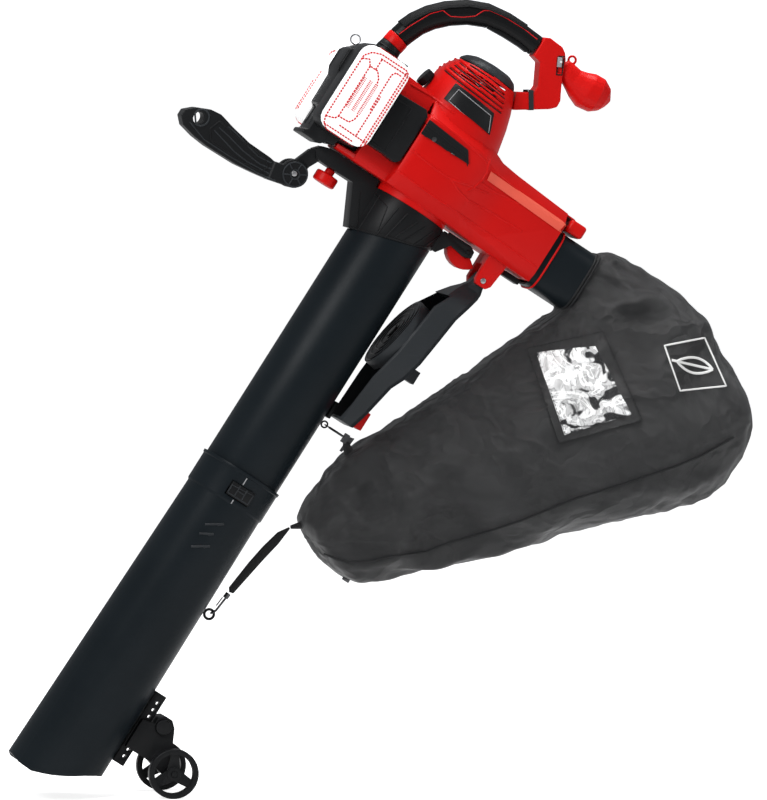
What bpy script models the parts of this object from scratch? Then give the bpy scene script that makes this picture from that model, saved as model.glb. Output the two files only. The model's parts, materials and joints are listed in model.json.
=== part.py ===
"""Cordless leaf vacuum and blower with a two-piece tube, guide wheels and a collecting bag.

The machine is modelled upright in its own frame and then tilted as a whole into its working pose:
x runs from the tube's front to its rear, y from the operator's left to the right, and z up along
the tube.  The tube's joint with the fan housing lies at z = 0.  Outlines and sections are written
in millimetres and turned into metres by MM; single sizes are metres.
"""
import math

import bmesh
import bpy
from mathutils import Matrix, Vector

MM = 0.001
GAP = 0.4
TILT = math.radians(33)
GRIP_POINT = (-0.010, 0.0, 0.2955)

AXIS_X = -4.0
WALL = 2.6
INLET_RADIUS = 50.0
FLANGE_RADIUS = 58.5
FLANGE_TOP = 24.0

TUBE_AXIS_X = -3.5
TUBE_RADIUS = 58.0
TUBE_INNER = 54.5
TUBE_END_Z = -470.0
SPIGOT_RADIUS = 55.3
SPIGOT_INNER = 52.0
SOCKET_RADIUS = 59.0
SOCKET_BORE = 55.8
SEAM_FRONT = (-64.0, -70.0)
SEAM_SLOPE = 0.308

COLLAR_TOP_Z = -442.0
COLLAR_STEP_Z = -472.0
NOZZLE_END_Z = -965.0

DOCK_HALF = 33.0
BATTERY_INNER_Y = 34.0
BATTERY_OUTER_Y = 100.0
BATTERY_CENTRE = (-161.0, 92.5)
BATTERY_SIZE = (78.0, 135.0)
BATTERY_CORNER = 18.0

FRONT_PIVOT = (-173.0, -48.0)
LATCH_PIVOT = (100.0, -6.0)
COVER_PIVOT = (138.0, -30.0)
AXLE_POINT = (135.0, -854.5)
WHEEL_RADIUS = 35.5
WHEEL_CENTRE_Y = 50.0
WHEEL_HALF = 7.5
KNOB_POINT = (-127.5, -12.0)
MOTOR_X = -8.0

FINE = 40
MEDIUM = 28
COARSE = 16
WIRE_SIDES = 6
CUTTER_REACH = 130.0


def material(name, colour, roughness, metallic=0.0):
    """Make a plain Principled material."""
    made = bpy.data.materials.new(name)
    made.use_nodes = True
    shader = made.node_tree.nodes["Principled BSDF"]
    shader.inputs["Base Color"].default_value = (*colour, 1.0)
    shader.inputs["Roughness"].default_value = roughness
    shader.inputs["Metallic"].default_value = metallic
    made.diffuse_color = (*colour, 1.0)
    return made


for leftover in list(bpy.data.objects):
    bpy.data.objects.remove(leftover, do_unlink=True)

PARTS = bpy.data.collections.new("leaf_vacuum")
CUTTERS = bpy.data.collections.new("cutters")
bpy.context.scene.collection.children.link(PARTS)
bpy.context.scene.collection.children.link(CUTTERS)

RED = material("red_plastic", (0.62, 0.035, 0.025), 0.35)
BLACK = material("black_plastic", (0.022, 0.022, 0.024), 0.45)
TUBE = material("tube_plastic", (0.035, 0.038, 0.042), 0.38)
GREY = material("grey_plastic", (0.12, 0.125, 0.13), 0.45)
SOFT = material("soft_grip", (0.05, 0.05, 0.055), 0.8)
PACK = material("pack_plastic", (0.8, 0.8, 0.8), 0.5)
STEEL = material("steel", (0.55, 0.55, 0.56), 0.3, 1.0)
COPPER = material("motor_metal", (0.45, 0.28, 0.16), 0.4, 1.0)
CLOTH = material("bag_cloth", (0.03, 0.031, 0.034), 0.75)
FILM = material("window_film", (0.85, 0.87, 0.9), 0.15)
BOARD = material("circuit_board", (0.02, 0.15, 0.06), 0.5)

MACHINE = bpy.data.objects.new("machine_tilt", None)
MACHINE.rotation_euler = (0, TILT, 0)
MACHINE.location = -(Matrix.Rotation(TILT, 3, "Y") @ Vector(GRIP_POINT))
PARTS.objects.link(MACHINE)


def place(name, mesh_data, finish, cutter=False):
    """Put a mesh in the scene under the tilted machine frame, as a part or as a cutter."""
    obj = bpy.data.objects.new(name, mesh_data)
    obj.parent = MACHINE
    (CUTTERS if cutter else PARTS).objects.link(obj)
    if cutter:
        obj.hide_render = True
        obj.display_type = "WIRE"
    else:
        mesh_data.materials.append(finish)
        mesh_data.shade_smooth()
        mesh_data.set_sharp_from_angle(angle=math.radians(35))
    return obj


def keep(name, bm, finish, cutter):
    """Turn a finished bmesh into an object with its faces pointing outwards."""
    bmesh.ops.recalc_face_normals(bm, faces=bm.faces)
    mesh_data = bpy.data.meshes.new(name)
    bm.to_mesh(mesh_data)
    bm.free()
    return place(name, mesh_data, finish, cutter)


def loft(name, rings, finish=None, closed=False, cutter=False):
    """Skin a solid over rings of points; a closed loft joins its last ring to its first."""
    bm = bmesh.new()
    loops = [[bm.verts.new(Vector(point) * MM) for point in ring] for ring in rings]
    pairs = list(zip(loops, loops[1:]))
    if closed:
        pairs.append((loops[-1], loops[0]))
    for first, second in pairs:
        for i in range(len(first)):
            j = (i + 1) % len(first)
            bm.faces.new((first[i], first[j], second[j], second[i]))
    if not closed:
        bm.faces.new(loops[0])
        bm.faces.new(loops[-1])
    return keep(name, bm, finish, cutter)


def prism(name, outline, y_low, y_high, finish=None, cutter=False):
    """Extrude an outline of the x-z plane along y."""
    rings = [[(x, y, z) for x, z in outline] for y in (y_low, y_high)]
    return loft(name, rings, finish, cutter=cutter)


def block(name, low, high, finish=None, cutter=False):
    """Make a box between two corners."""
    outline = ((low[0], low[2]), (high[0], low[2]), (high[0], high[2]), (low[0], high[2]))
    return prism(name, outline, low[1], high[1], finish, cutter)


def rod(name, start, end, radius, finish=None, sides=COARSE, cutter=False, end_radius=None):
    """Make a round bar or cone between two points."""
    start, end = Vector(start), Vector(end)
    along = end - start
    turn = along.to_track_quat("Z", "Y").to_matrix().to_4x4()
    bm = bmesh.new()
    bmesh.ops.create_cone(
        bm,
        cap_ends=True,
        segments=sides,
        radius1=radius * MM,
        radius2=(radius if end_radius is None else end_radius) * MM,
        depth=along.length * MM,
        matrix=Matrix.Translation((start + end) / 2 * MM) @ turn,
    )
    return keep(name, bm, finish, cutter)


def oval(centre, half_a, half_b, count, power=2.0):
    """List the points of a rounded outline about a centre, in its own plane."""
    points = []
    for i in range(count):
        angle = math.tau * i / count
        a, b = math.cos(angle), math.sin(angle)
        a = math.copysign(abs(a) ** (2 / power), a)
        b = math.copysign(abs(b) ** (2 / power), b)
        points.append((centre[0] + half_a * a, centre[1] + half_b * b))
    return points


def level(z, centre_x, half_x, half_y, count=MEDIUM, power=2.0):
    """A ring at one height."""
    return [(x, y, z) for x, y in oval((centre_x, 0), half_x, half_y, count, power)]


def turned(name, centre_x, profile, finish=None, sides=FINE, cutter=False):
    """Turn a closed profile of (radius, height) points about an upright axis."""
    rings = [level(z, centre_x, radius, radius, sides) for radius, z in profile]
    return loft(name, rings, finish, closed=True, cutter=cutter)


def torus(name, centre, normal, radius, wire, finish=None, cutter=False):
    """Make a wire ring."""
    turn = Vector(normal).to_track_quat("Z", "Y").to_matrix().to_4x4()
    frame = Matrix.Translation(Vector(centre)) @ turn
    rings = []
    for i in range(COARSE):
        angle = math.tau * i / COARSE
        hub = Vector((math.cos(angle), math.sin(angle), 0))
        ring = []
        for k in range(WIRE_SIDES):
            swing = math.tau * k / WIRE_SIDES
            offset = hub * (radius + wire * math.cos(swing)) + Vector((0, 0, wire * math.sin(swing)))
            ring.append(frame @ offset)
        rings.append(ring)
    return loft(name, rings, finish, closed=True, cutter=cutter)


def shape(target, other, operation="DIFFERENCE", solver="EXACT"):
    """Cut a helper from a part, or join it on."""
    modifier = target.modifiers.new(other.name, "BOOLEAN")
    modifier.object = other
    modifier.operation = operation
    modifier.solver = solver
    return target


def join(target, other, solver="EXACT"):
    """Join a helper solid onto a part."""
    return shape(target, other, "UNION", solver)


def hinge_at(obj, x, z, y=0.0):
    """Move a part's origin onto its joint's axis without moving the part."""
    offset = Vector((x, y, z)) * MM
    obj.data.transform(Matrix.Translation(-offset))
    obj.location = offset
    return obj


def rounded(centre, size, radius, steps=4):
    """List the corners of a rectangle with round corners."""
    points = []
    for quadrant, (sx, sz) in enumerate(((1, 1), (-1, 1), (-1, -1), (1, -1))):
        hub_x = centre[0] + sx * (size[0] / 2 - radius)
        hub_z = centre[1] + sz * (size[1] / 2 - radius)
        for i in range(steps + 1):
            angle = math.pi / 2 * (quadrant + i / steps)
            points.append((hub_x + radius * math.cos(angle), hub_z + radius * math.sin(angle)))
    return points


def sweep(name, stations, finish, power=2.0, count=16):
    """Skin a handle-like form along stations (x, z, heading in degrees, half height, half width)."""
    rings = []
    for x, z, heading, half_height, half_width in stations:
        across = upright_to(heading)
        ring = []
        for a, b in oval((0, 0), half_height, half_width, count, power):
            ring.append((x + across.x * a, b, z + across.y * a))
        rings.append(ring)
    return loft(name, rings, finish)


def upright_to(heading):
    """Direction at a right angle to a heading in the x-z plane."""
    angle = math.radians(heading)
    return Vector((-math.sin(angle), math.cos(angle)))


# ---------------------------------------------------------------- fan housing

# x, half widths at foot, side and crown, and heights of foot, side foot, side head and crown
HOUSING_SECTIONS = (
    (-145, 20, 30, 20, 13, 15, 20, 22.5),
    (-118.5, 38, 46, 38, 12, 15, 20, 22.5),
    (-118, 42, 49, 34, 12, 24, 128, 156),
    (-64, 46, 49, 40, 11, 24, 120, 151),
    (-62, 56, 74, 42, 11, 28, 120, 150),
    (-50, 60, 78, 44, 10, 28, 120, 149),
    (24, 60, 78, 46, 8, 28, 119, 141),
    (48, 56, 70, 42, 8, 26, 112, 134),
    (72, 50, 58, 30, 7, 22, 105, 126),
    (100, 44, 53, 27, 6, 20, 103, 123),
    (192, 42, 50, 25, 4, 18, 96, 117),
)

# height, centre x, half length, half width
COWL_SECTIONS = (
    (112, -8, 74, 66),
    (135, -9, 71, 66),
    (152, -10, 68.5, 64.5),
    (168, -10.5, 65.5, 62.5),
    (190, -13, 61.5, 58.5),
    (206, -12.5, 55, 52.5),
    (219, -11, 47, 45.5),
)
COWL_POWER = 2.2
LUG_CHEEK_Y = (18.0, 32.0)


def housing_ring(section, inset=0.0, shift=0.0):
    """One eight-cornered section of the fan housing, inset for the hollow."""
    x, foot, side, crown, z_foot, z_side, z_head, z_crown = section
    corners = (
        (foot - inset, z_foot + inset),
        (side - inset, z_side + inset / 2),
        (side - inset, z_head - inset / 2),
        (crown - inset, z_crown - inset),
    )
    right = [(x + shift, y, z) for y, z in corners]
    left = [(x + shift, -y, z) for y, z in reversed(corners)]
    return right + left


def cowl_at(z):
    """Interpolate the motor cowl's centre, half length and half width at a height."""
    for low, high in zip(COWL_SECTIONS, COWL_SECTIONS[1:]):
        if z <= high[0]:
            break
    share = (z - low[0]) / (high[0] - low[0])
    return [a + (b - a) * share for a, b in zip(low[1:], high[1:])]


def cowl_rings(inset=0.0, lift=0.0):
    rings = []
    for z, centre, half_x, half_y in COWL_SECTIONS:
        top = lift if z == COWL_SECTIONS[-1][0] else 0
        rings.append(level(z + top, centre, half_x - inset, half_y - inset, MEDIUM, COWL_POWER))
    return rings


def housing_tools():
    """Build the solids that both housing halves are joined from and cut with."""
    hollow_sections = HOUSING_SECTIONS[2:-1]
    hollow = [housing_ring(section, WALL) for section in hollow_sections]
    hollow[0] = housing_ring(HOUSING_SECTIONS[2], WALL, shift=WALL)
    hollow.append(housing_ring(HOUSING_SECTIONS[-1], WALL, shift=10))
    joins = [
        loft("cowl_form", cowl_rings(), cutter=True),
        rod("flange_form", (AXIS_X, 0, 0), (AXIS_X, 0, FLANGE_TOP), FLANGE_RADIUS, sides=FINE, cutter=True),
        prism("hood_form", HOOD_OUTLINE, -24, 24, cutter=True),
        prism("lug_form", LUG_OUTLINE, -LUG_CHEEK_Y[1], LUG_CHEEK_Y[1], cutter=True),
    ]
    cuts = [
        loft("fan_hollow", hollow, cutter=True),
        loft("cowl_hollow", cowl_rings(WALL, lift=6), cutter=True),
        rod("inlet_bore", (AXIS_X, 0, -5), (AXIS_X, 0, 16), INLET_RADIUS, sides=FINE, cutter=True),
        block("lug_slot", (120, -LUG_CHEEK_Y[0], -60), (160, LUG_CHEEK_Y[0], -9), cutter=True),
        rod(
            "pin_bore",
            (COVER_PIVOT[0], -CUTTER_REACH, COVER_PIVOT[1]),
            (COVER_PIVOT[0], CUTTER_REACH, COVER_PIVOT[1]),
            4.3,
            cutter=True,
        ),
    ]
    for row in range(LOUVRE_COUNT):
        z = LOUVRE_FIRST_Z + LOUVRE_PITCH * row
        narrow = LOUVRE_NARROWING * row
        outline = (
            (-52 + narrow, z + 1.5),
            (22 - narrow, z - 1.5),
            (22 - narrow, z - 1.5 + LOUVRE_HEIGHT),
            (-52 + narrow, z + 1.5 + LOUVRE_HEIGHT),
        )
        cuts.append(prism(f"louvre_{row}", outline, -CUTTER_REACH, CUTTER_REACH, cutter=True))
    return joins, cuts


HOOD_OUTLINE = ((165, 100), (224, 94), (214, 111), (205, 115.5), (165, 117))
LUG_OUTLINE = ((126, 14), (127, -32), (131, -38.5), (147, -38.5), (152, -32), (157, 14))
LOUVRE_COUNT = 4
LOUVRE_FIRST_Z = 194.0
LOUVRE_PITCH = 6.4
LOUVRE_HEIGHT = 2.6
LOUVRE_NARROWING = 2.0
SPLIT = 0.15


def build_housing():
    joins, cuts = housing_tools()
    sides = {"left_housing": (-SPLIT, CUTTER_REACH), "right_housing": (-CUTTER_REACH, SPLIT)}
    for name, (low, high) in sides.items():
        shell = loft(name, [housing_ring(section) for section in HOUSING_SECTIONS], RED)
        for form in joins:
            join(shell, form, "MANIFOLD")
        for form in cuts:
            shape(shell, form, solver="MANIFOLD")
        half_space = block(f"{name}_split", (-200, low, -100), (300, high, 300), cutter=True)
        shape(shell, half_space, solver="MANIFOLD")


def build_cap():
    """Dished black cap over the motor's cooling vents."""
    rings = [
        level(z, centre, half_x, half_y)
        for z, centre, half_x, half_y in (
            (220, -11, 46, 44.5),
            (224, -11, 45, 43.5),
            (230, -10, 40, 39),
            (235, -9, 29, 28),
            (237, -9, 12, 12),
        )
    ]
    loft("motor_cap", rings, BLACK)


def cowl_skin(name, corners, offset, thickness, finish, columns=8, rows=3):
    """Bend a four-cornered plate onto the left side of the motor cowl."""
    bm = bmesh.new()
    grid = []
    for r in range(rows + 1):
        line = []
        for c in range(columns + 1):
            s, t = c / columns, r / rows
            top = Vector(corners[0]).lerp(Vector(corners[1]), s)
            low = Vector(corners[3]).lerp(Vector(corners[2]), s)
            x, z = top.lerp(low, t)
            centre, half_x, half_y = cowl_at(z)
            share = min(abs(x - centre) / half_x, 1.0)
            depth = half_y * (1 - share**COWL_POWER) ** (1 / COWL_POWER)
            line.append(bm.verts.new(Vector((x, -depth - offset, z)) * MM))
        grid.append(line)
    for upper, lower in zip(grid, grid[1:]):
        for c in range(columns):
            bm.faces.new((upper[c], upper[c + 1], lower[c + 1], lower[c]))
    for face in bm.faces:
        face.normal_update()
        if face.normal.y > 0:
            face.normal_flip()
    mesh_data = bpy.data.meshes.new(name)
    bm.to_mesh(mesh_data)
    bm.free()
    plate = place(name, mesh_data, finish)
    skin = plate.modifiers.new("thickness", "SOLIDIFY")
    skin.thickness = thickness * MM
    skin.offset = 1.0
    return plate


def build_trim():
    cowl_skin("name_plate", ((-52, 182), (16, 175), (27, 146), (-55, 154)), 0.9, 1.4, BLACK)
    for name, side in (("left_vent_panel", -1), ("right_vent_panel", 1)):
        outline = ((-62, 116), (8, 110), (20, 93), (-62, 93))
        low, high = sorted((side * 78.5, side * 81))
        prism(name, outline, low, high, BLACK)
    for name, side in (("left_dock_cover", -1), ("right_dock_cover", 1)):
        outline = ((-117, 40), (-90, 40), (-71, 38), (-65, 44), (-65, 118), (-72, 126), (-117, 124))
        low, high = sorted((side * 49.6, side * 75))
        prism(name, outline, low, high, BLACK)


# ---------------------------------------------------------------- motor and fan

def build_motor():
    turned("motor_stator", MOTOR_X, ((31, 196), (31, 150), (24, 150), (24, 196)), COPPER, MEDIUM)
    shaft_profile = (
        (4, 216), (4, 193), (22.5, 193), (22.5, 153), (4, 153), (4, 24),
    )
    bm_rings = [level(z, MOTOR_X, radius, radius, COARSE) for radius, z in shaft_profile]
    hinge_at(loft("motor_rotor", bm_rings, STEEL), MOTOR_X, 150)
    bearing = ((11, 0), (11, -8), (4.2, -8), (4.2, 0))
    for name, top in (("lower_bearing", 92), ("upper_bearing", 212)):
        turned(name, MOTOR_X, [(radius, top + z) for radius, z in bearing], STEEL, COARSE)
    disc = turned("impeller", MOTOR_X, ((60, 64), (60, 61), (4.2, 61), (4.2, 64)), GREY, MEDIUM)
    hub = turned(
        "impeller_hub", MOTOR_X, ((16, 62), (13, 30), (4.2, 30), (4.2, 62)), sides=COARSE, cutter=True
    )
    join(disc, hub)
    for i in range(BLADE_COUNT):
        angle = math.tau * i / BLADE_COUNT
        direction = Vector((math.cos(angle), math.sin(angle)))
        side = Vector((-direction.y, direction.x)) * BLADE_HALF
        inner, outer = direction * 10, direction * 57
        rings = []
        for z_inner, z_outer in ((34, 24), (63, 63)):
            rings.append([
                (MOTOR_X + inner.x - side.x, inner.y - side.y, z_inner),
                (MOTOR_X + outer.x - side.x, outer.y - side.y, z_outer),
                (MOTOR_X + outer.x + side.x, outer.y + side.y, z_outer),
                (MOTOR_X + inner.x + side.x, inner.y + side.y, z_inner),
            ])
        join(disc, loft(f"blade_{i}", rings, cutter=True))
    hinge_at(disc, MOTOR_X, 60)
    block("control_board", (-112, -38, 60), (-110.4, 38, 120), BOARD)


BLADE_COUNT = 6
BLADE_HALF = 1.2


# ---------------------------------------------------------------- battery dock and batteries

DOCK_OUTLINE = (
    (-119, 24), (-119, 167), (-178, 167), (-190, 156), (-204, 142), (-204, 112), (-199, 98),
    (-199, 56), (-193, 50), (-193, 15), (-199, 12), (-199, 6), (-168, 6), (-160, 14), (-150, 14),
    (-147, 24),
)


def build_dock():
    dock = prism("battery_dock", DOCK_OUTLINE, -DOCK_HALF, DOCK_HALF, BLACK)
    hollow = ((-110, 28), (-110, 158), (-178, 158), (-192, 140), (-188, 100), (-185, 28))
    shape(dock, prism("dock_hollow", hollow, 4 - DOCK_HALF, DOCK_HALF - 4, cutter=True))
    for prefix, side in (("left", -1), ("right", 1)):
        low, high = sorted((side * BATTERY_INNER_Y, side * BATTERY_OUTER_Y))
        outline = rounded(BATTERY_CENTRE, BATTERY_SIZE, BATTERY_CORNER)
        pack = prism(f"{prefix}_battery", outline, low, high, PACK)
        top = BATTERY_CENTRE[1] + BATTERY_SIZE[1] / 2
        low, high = sorted((side * 56, side * 80))
        pocket = block(f"{prefix}_pocket", (-177, low, top - 9), (-145, high, top + 5), cutter=True)
        shape(pack, pocket)
        hinge_at(pack, BATTERY_CENTRE[0], BATTERY_CENTRE[1])
        button = block(
            f"{prefix}_battery_button", (-176, low + 1, top - 4.5), (-146, high - 1, top + 3), RED
        )
        hinge_at(button, BATTERY_CENTRE[0], top)
    ring = torus("strap_ring", RING_CENTRE, (0, 1, 0), 7, 1.1, STEEL)
    hinge_at(ring, RING_CENTRE[0] + 7 * math.sqrt(0.5), RING_CENTRE[2] - 7 * math.sqrt(0.5))


RING_CENTRE = (-198.3, 0.0, 160.3)


# ---------------------------------------------------------------- main handle

# x, z, heading, half height, half width
COLLAR_STATIONS = ((-151, 167.6, 90, 19, 18), (-150.4, 174, 85, 18, 17.5), (-149.2, 181, 80, 17, 16.5))
BAND_STATIONS = (
    (-149.1, 181.5, 80, 17.5, 16.5), (-148, 188, 80, 17.5, 16.5), (-146.7, 195.2, 76, 17.5, 16.5),
)
GRIP_STATIONS = (
    (-146.6, 195.7, 76, 17, 16),
    (-142.5, 209, 70, 17.5, 16),
    (-135.5, 226, 66, 17.5, 16),
    (-123.5, 244, 54, 17.5, 16),
    (-106, 262, 45, 17.5, 16),
    (-83, 279, 33, 17.5, 16),
    (-57, 290.5, 19, 17, 16),
    (-28, 295.5, 5, 16, 15.5),
    (0, 296, -1, 15.5, 15.5),
    (27, 294, -6, 16, 15.5),
)
POST_OUTLINE = (
    (29, 310), (36, 313.5), (58, 312), (66, 307), (72, 299), (81, 276), (97, 246), (97.5, 236),
    (90, 228), (45.5, 198), (35, 222), (57, 235), (58, 246), (42, 276), (29, 279),
)
POMMEL_STATIONS = (
    (76, 294, -20, 10, 11),
    (86, 288.5, -25, 15, 14),
    (98, 284, -12, 17, 16),
    (110, 281.5, -5, 22, 20),
    (124, 281, 0, 27.5, 25),
    (140, 283, 5, 26.5, 26),
    (152, 283, 0, 19, 20),
    (159, 280, -15, 8, 10),
)
TRIGGER_X = (-46.0, 20.0)


def build_handle():
    sweep("handle_collar", COLLAR_STATIONS, BLACK)
    sweep("handle_band", BAND_STATIONS, RED)
    grip = sweep("main_grip", GRIP_STATIONS, SOFT)
    pocket = block("trigger_pocket", (-48, -8.6, 262), (22, 8.6, 290), cutter=True)
    shape(grip, pocket)
    build_pad()
    outline = (
        (TRIGGER_X[0], 286), (TRIGGER_X[0], 276.5), (-20, 278.5),
        (5, 279), (TRIGGER_X[1], 278), (TRIGGER_X[1], 286),
    )
    hinge_at(prism("trigger", outline, -7.8, 7.8, BLACK), -13, 281)
    post = prism("handle_post", POST_OUTLINE, -17, 17, RED)
    shape(post, loft("cowl_clearance", cowl_rings(-GAP, lift=10), cutter=True))
    shape(post, block("grip_socket", (20, -20, 270), (28.5, 20, 320), cutter=True))
    slot = [(x + 0.5, z + 0.5) for x, z in SWITCH_SLOT]
    shape(post, prism("switch_pocket", slot, -20, -13, cutter=True))
    band = prism("post_band", BAND_OUTLINE, -18.2, 18.2, GREY)
    inner = prism("band_hole", BAND_HOLE, -17.4, 17.4, cutter=True)
    shape(band, inner)
    slider = prism("power_switch", SWITCH_SLIDER, -18.5, -13.5, BLACK)
    hinge_at(slider, SWITCH_SLIDER[0][0], SWITCH_SLIDER[0][1], -16)
    pommel = sweep("rear_pommel", POMMEL_STATIONS, RED, power=2.5, count=20)
    join(pommel, torus("pommel_eye", (83, 0, 306), (0, 1, 0), 5.5, 2, cutter=True))
    shape(pommel, prism("pommel_seat", [(x + 0.5, z) for x, z in POST_OUTLINE], -30, 30, cutter=True))


POST_DIRECTION = Vector((0.46, -0.888))
POST_ACROSS = Vector((0.888, 0.46))


def along_post(start, length, width):
    """Outline of a bar that lies along the rear post."""
    first = Vector(start)
    return [
        tuple(first),
        tuple(first + POST_ACROSS * width),
        tuple(first + POST_ACROSS * width + POST_DIRECTION * length),
        tuple(first + POST_DIRECTION * length),
    ]


SWITCH_SLOT = along_post((58, 297.5), 24, 8)
SWITCH_SLIDER = along_post((59.5, 296.5), 14, 6.6)
FOOT_DIRECTION = Vector((0.83, 0.558))
FOOT_ACROSS = Vector((-0.558, 0.83))


def across_foot(start, width, length):
    """Outline of a strip that crosses the post's lower arm."""
    first = Vector(start)
    return [
        tuple(first),
        tuple(first + FOOT_DIRECTION * width),
        tuple(first + FOOT_DIRECTION * width + FOOT_ACROSS * length),
        tuple(first + FOOT_ACROSS * length),
    ]


BAND_OUTLINE = across_foot((65, 210.2), 7, 28.6)
BAND_HOLE = across_foot((62, 208.9), 13, 27.4)


def build_pad():
    """Soft pad over the outer side of the grip."""
    rings = []
    for x, z, heading, half_height, half_width in GRIP_STATIONS[1:-1]:
        across = upright_to(heading)
        ring = []
        for extra, order in ((PAD_THICKNESS + GAP, 1), (GAP, -1)):
            arc = range(PAD_STEPS + 1)[::order]
            for k in arc:
                angle = PAD_SPAN * (2 * k / PAD_STEPS - 1)
                a = (half_height + extra) * math.cos(angle)
                ring.append((x + across.x * a, (half_width + extra) * math.sin(angle), z + across.y * a))
        rings.append(ring)
    loft("grip_pad", rings, SOFT)


PAD_THICKNESS = 1.3
PAD_STEPS = 8
PAD_SPAN = math.radians(62)


# ---------------------------------------------------------------- controls on the motor cowl

def build_speed_knob():
    start = Vector((-78.2, 0, 168.4))
    axis = Vector((-0.975, 0, 0.222))
    knob = rod("speed_knob", start, start + axis * 11, 13, BLACK, sides=FINE)
    hinge_at(knob, start.x, start.z)


# ---------------------------------------------------------------- tubes and socket

ARM_OUTLINE = (
    (-63.5, 10), (-148, 10), (-158, 7), (-166, -2), (-158, -13), (-95, -13), (-65, -72), (-50, -72),
    (-50, -0.5), (-63.5, -0.5),
)
LEG_OUTLINE = (
    (-148, 4), (-160, 4), (-170, -6), (-184, -42), (-184, -48), (-162, -48), (-158, -28), (-148, -8),
)
REAR_EAR = (
    (40, -1), (62, -1), (62, 3), (100, 3), (108, -2), (109, -12), (96, -16), (74, -12), (60, -32), (40, -32),
)
LEG_HALF = 9.6
EAR_Y = (13.0, 18.0)


def seam_z(x):
    """Height of the slanting seam between the socket and the tube."""
    return SEAM_FRONT[1] + SEAM_SLOPE * (x - SEAM_FRONT[0])


def build_socket():
    socket = rod(
        "tube_socket", (TUBE_AXIS_X, 0, -80), (TUBE_AXIS_X, 0, -0.5), SOCKET_RADIUS, BLACK, sides=FINE
    )
    join(socket, prism("arm_form", ARM_OUTLINE, -20, 20, cutter=True))
    join(socket, prism("leg_form", LEG_OUTLINE, -LEG_HALF, LEG_HALF, cutter=True))
    x, z = FRONT_PIVOT
    join(socket, rod("leg_end", (x, -LEG_HALF, z), (x, LEG_HALF, z), 11, cutter=True))
    for side in (-1, 1):
        low, high = sorted((side * EAR_Y[0], side * EAR_Y[1]))
        join(socket, prism(f"ear_form_{high:.0f}", REAR_EAR, low, high, cutter=True))
    shape(
        socket, rod("socket_bore", (TUBE_AXIS_X, 0, -100), (TUBE_AXIS_X, 0, -4), SOCKET_BORE, sides=FINE, cutter=True)
    )
    shape(
        socket, rod("socket_mouth", (TUBE_AXIS_X, 0, -10), (TUBE_AXIS_X, 0, 5), INLET_RADIUS, sides=FINE, cutter=True)
    )
    below = ((-110, seam_z(-110)), (90, seam_z(90)), (90, -160), (-110, -160))
    shape(socket, prism("seam_below", below, -CUTTER_REACH, CUTTER_REACH, cutter=True))
    shape(socket, rod("leg_bore", (x, -30, z), (x, 30, z), 4.3, cutter=True))
    shape(socket, rod("knob_bore", (KNOB_POINT[0], 0, -20), (KNOB_POINT[0], 0, 0), 4.4, cutter=True))
    ear_bore = rod(
        "ear_bore", (LATCH_PIVOT[0], -30, LATCH_PIVOT[1]), (LATCH_PIVOT[0], 30, LATCH_PIVOT[1]), 3.3, cutter=True
    )
    shape(socket, ear_bore)


def build_lock_knob():
    """Clamping thumb knob under the carrying arm."""
    x, z = KNOB_POINT
    profile = (
        (4, z + 9), (4, z - 1.5), (7, z - 1.6), (7, z - 9), (16.5, z - 9.5),
        (17.5, z - 12), (17.5, z - 23), (15.5, z - 25),
    )
    rings = [level(height, x, radius, radius, COARSE) for radius, height in profile]
    hinge_at(loft("lock_knob", rings, RED), x, z)


def build_latch():
    """Red hook that locks the tube socket, turning on a black barrel."""
    x, z = LATCH_PIVOT
    arc = [math.radians(a) for a in range(185, 331, 18)]
    outer = [(x - 2 + 27 * math.cos(a), z - 2 + 25 * math.sin(a)) for a in arc]
    inner = [(x + 9 * math.cos(a), z + 9 * math.sin(a)) for a in reversed(arc)]
    hinge_at(prism("tube_latch", outer + inner, -12.4, 12.4, RED), x, z)
    barrel = rod("latch_pin", (x, -12.4, z), (x, 12.4, z), 8.2, BLACK)
    join(barrel, rod("pin_core", (x, -19, z), (x, 19, z), 3, cutter=True))


def build_front_handle():
    x, z = FRONT_PIVOT
    outline = (
        (-196, -50), (-215, -47), (-250, -46), (-282, -40), (-306, -34), (-322, -36), (-342, -45),
        (-354, -56), (-354, -66), (-344, -76), (-322, -81),
        (-300, -83), (-250, -82), (-220, -78), (-196, -74),
    )
    handle = prism("front_handle", outline, -17, 17, BLACK)
    web = ((-170, -66), (-176, -69), (-200, -75), (-205, -48), (-190, -44), (-180, -40))
    for side in (-1, 1):
        low, high = sorted((side * 10.2, side * 19))
        join(handle, rod(f"hub_{high:.0f}", (x, low, z), (x, high, z), 20.5, sides=MEDIUM, cutter=True))
        join(handle, prism(f"web_{high:.0f}", web, low, high - 2 if side > 0 else high, cutter=True))
    shape(handle, rod("hub_bore", (x, -30, z), (x, 30, z), 4.3, cutter=True))
    eye = [(a - 331, b - 55.5) for a, b in oval((0, 0), 7.5, 9, 12)]
    shape(handle, prism("handle_eye", eye, -30, 30, cutter=True))
    hinge_at(handle, x, z)
    rod("front_handle_bolt", (x, -20.5, z), (x, 20.5, z), 4, STEEL)


def tube_rings(stations):
    return [level(z, centre, radius, radius, FINE) for z, centre, radius in stations]


LIP_OUTLINE = (
    (-95, -948), (-74, -950), (-60, -956), (-42, -957), (-26, -951), (-14, -946), (6, -936), (28, -923),
    (45, -915), (60, -911), (95, -906), (95, -1000), (-95, -1000),
)


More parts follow.
